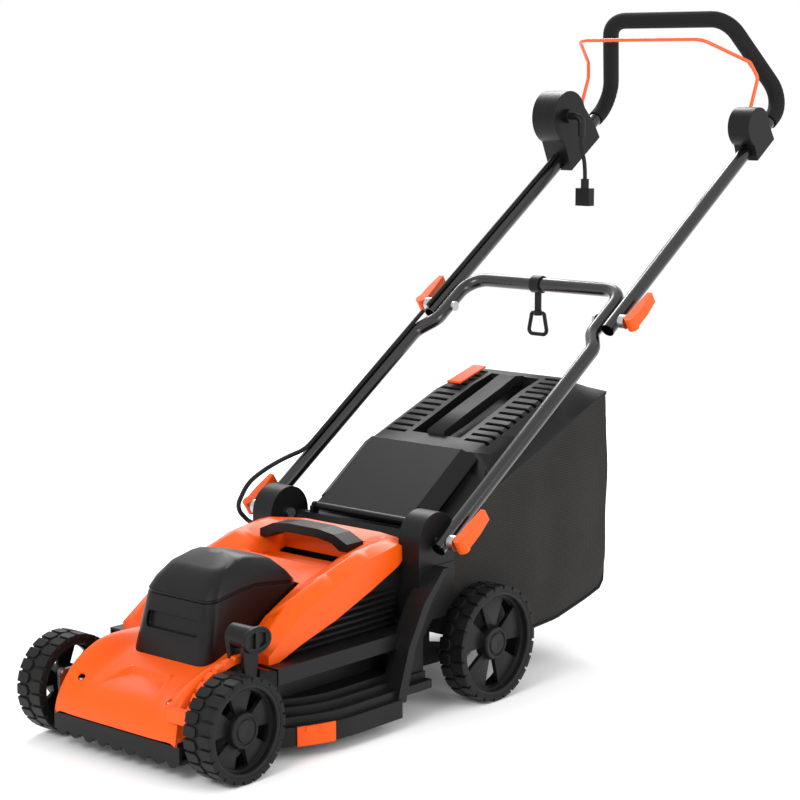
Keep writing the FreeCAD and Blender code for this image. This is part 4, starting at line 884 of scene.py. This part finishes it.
FOAM_R, FOAM_BORE, GRIP_BEND, FOAM_FROM, LEG_TOP = 13.6, 11.2, 44.0, 1013, 1069
LEG_X, PIVOT_Y, PIVOT_Z, LEG_ANGLE = 176.0, 404, 248, math.radians(34.2)
GRIP_HALF, GRIP_FORWARD, GRIP_RISE = 117, 88, 136
LEG = (math.cos(LEG_ANGLE), math.sin(LEG_ANGLE))


def on_leg(t, x=LEG_X):
    """Point t up the handle leg from the hub pivot."""
    return Vector((x, PIVOT_Y + t * LEG[0], PIVOT_Z + t * LEG[1]))


def rounded(points, radius, steps=10):
    """A line with its corners turned at one radius."""
    made = [points[0]]
    for a, b, c in zip(points, points[1:], points[2:]):
        u, v = (a - b).normalized(), (c - b).normalized()
        half = u.angle(v) / 2
        centre = b + (u + v).normalized() * (radius / math.sin(half))
        first = b + u * (radius / math.tan(half)) - centre
        last = b + v * (radius / math.tan(half)) - centre
        sweep = first.angle(last)
        for k in range(steps + 1):
            t = k / steps
            made.append(centre + (first * math.sin((1 - t) * sweep) + last * math.sin(t * sweep))
                        / math.sin(sweep))
    return made + [points[-1]]


corner_1 = on_leg(LEG_TOP)
corner_2 = Vector((GRIP_HALF, corner_1.y - GRIP_FORWARD, corner_1.z + GRIP_RISE))
foam_line = [on_leg(FOAM_FROM), corner_1, corner_2, Vector((-GRIP_HALF, corner_2.y, corner_2.z)),
             on_leg(LEG_TOP, -LEG_X), on_leg(FOAM_FROM, -LEG_X)]
foam_line = rounded(foam_line, GRIP_BEND)
foam_foam = moulded("closed_cell_foam", "#131314", 0.82, 1.6, 0.5, corner_mm=0.5, dust="#020202")


def sleeve(line, outer, bore, sides=28):
    """A thick sleeve along a line, its ends turned in over the tube."""
    first, last = line[0], line[-1]
    radii = [outer] * len(line)
    ends = [(first, bore), (first, outer - 1.2)], [(last, outer - 1.2), (last, bore)]
    stations = (ends[0] + list(zip(line, radii)) + ends[1]
                + list(zip(reversed(line), [bore] * len(line))))
    count, rows = len(line), []
    for i, (p, r) in enumerate(stations):
        j = min(max(i - 2, 0), count - 1) if i < count + 4 else count - 1 - (i - count - 4)
        way = (line[min(j + 1, count - 1)] - line[max(j - 1, 0)]).normalized()
        side = way.cross(Vector((0, 0, 1))).normalized()
        up = side.cross(way)
        rows.append([at(*(p + (side * math.cos(2 * math.pi * k / sides)
                               + up * math.sin(2 * math.pi * k / sides)) * r))
                     for k in range(sides)])
    return grid_mesh("sleeve", rows, closed=True)


foam = show("foam_sleeve", sleeve(foam_line, FOAM_R, FOAM_BORE), "upper_handle", foam_foam,
            ["foam_grip"], crease=60)

# ---- Switch box, bail box, cables and cord hook ----------------------------------------------
# The controls are clamshell boxes of black ABS round the upper tube.  A round cable runs down the
# right leg to the motor, and a nylon hook hangs from the cross bar for the power lead.
box_abs = moulded("abs_switch_box", "#0b0b0c", 0.38, 0.7, 0.06, corner_mm=1.5, dust="#010101")
hook_nylon = moulded("nylon_hook", "#0f0f10", 0.4, 0.8, 0.06)
button_abs = moulded("abs_button", "#e45206", 0.3, 0.9, 0.03, drift=0.04)
dress(box_abs, "switch_box_inner", "switch_box_outer", "bail_box")
dress(lead_pvc, "upper_cable", "lower_cable")
# The slack loop beside the right hub, which on the machine bends as the handle folds; here it is a
# fixed copy that rides on no body.
slack = worked(nodes["cable_loop"].data.copy(), "cable_slack", ("WELD", {"merge_threshold": 2e-6}),
               ("SUBSURF", {"levels": 2, "render_levels": 2, "subdivision_type": "SIMPLE"}))
slack = show("cable_slack", slack, None, lead_pvc, ["cable_loop"])
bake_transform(slack)
dress(hook_nylon, "cord_hook")
dress(button_abs, "lock_button")
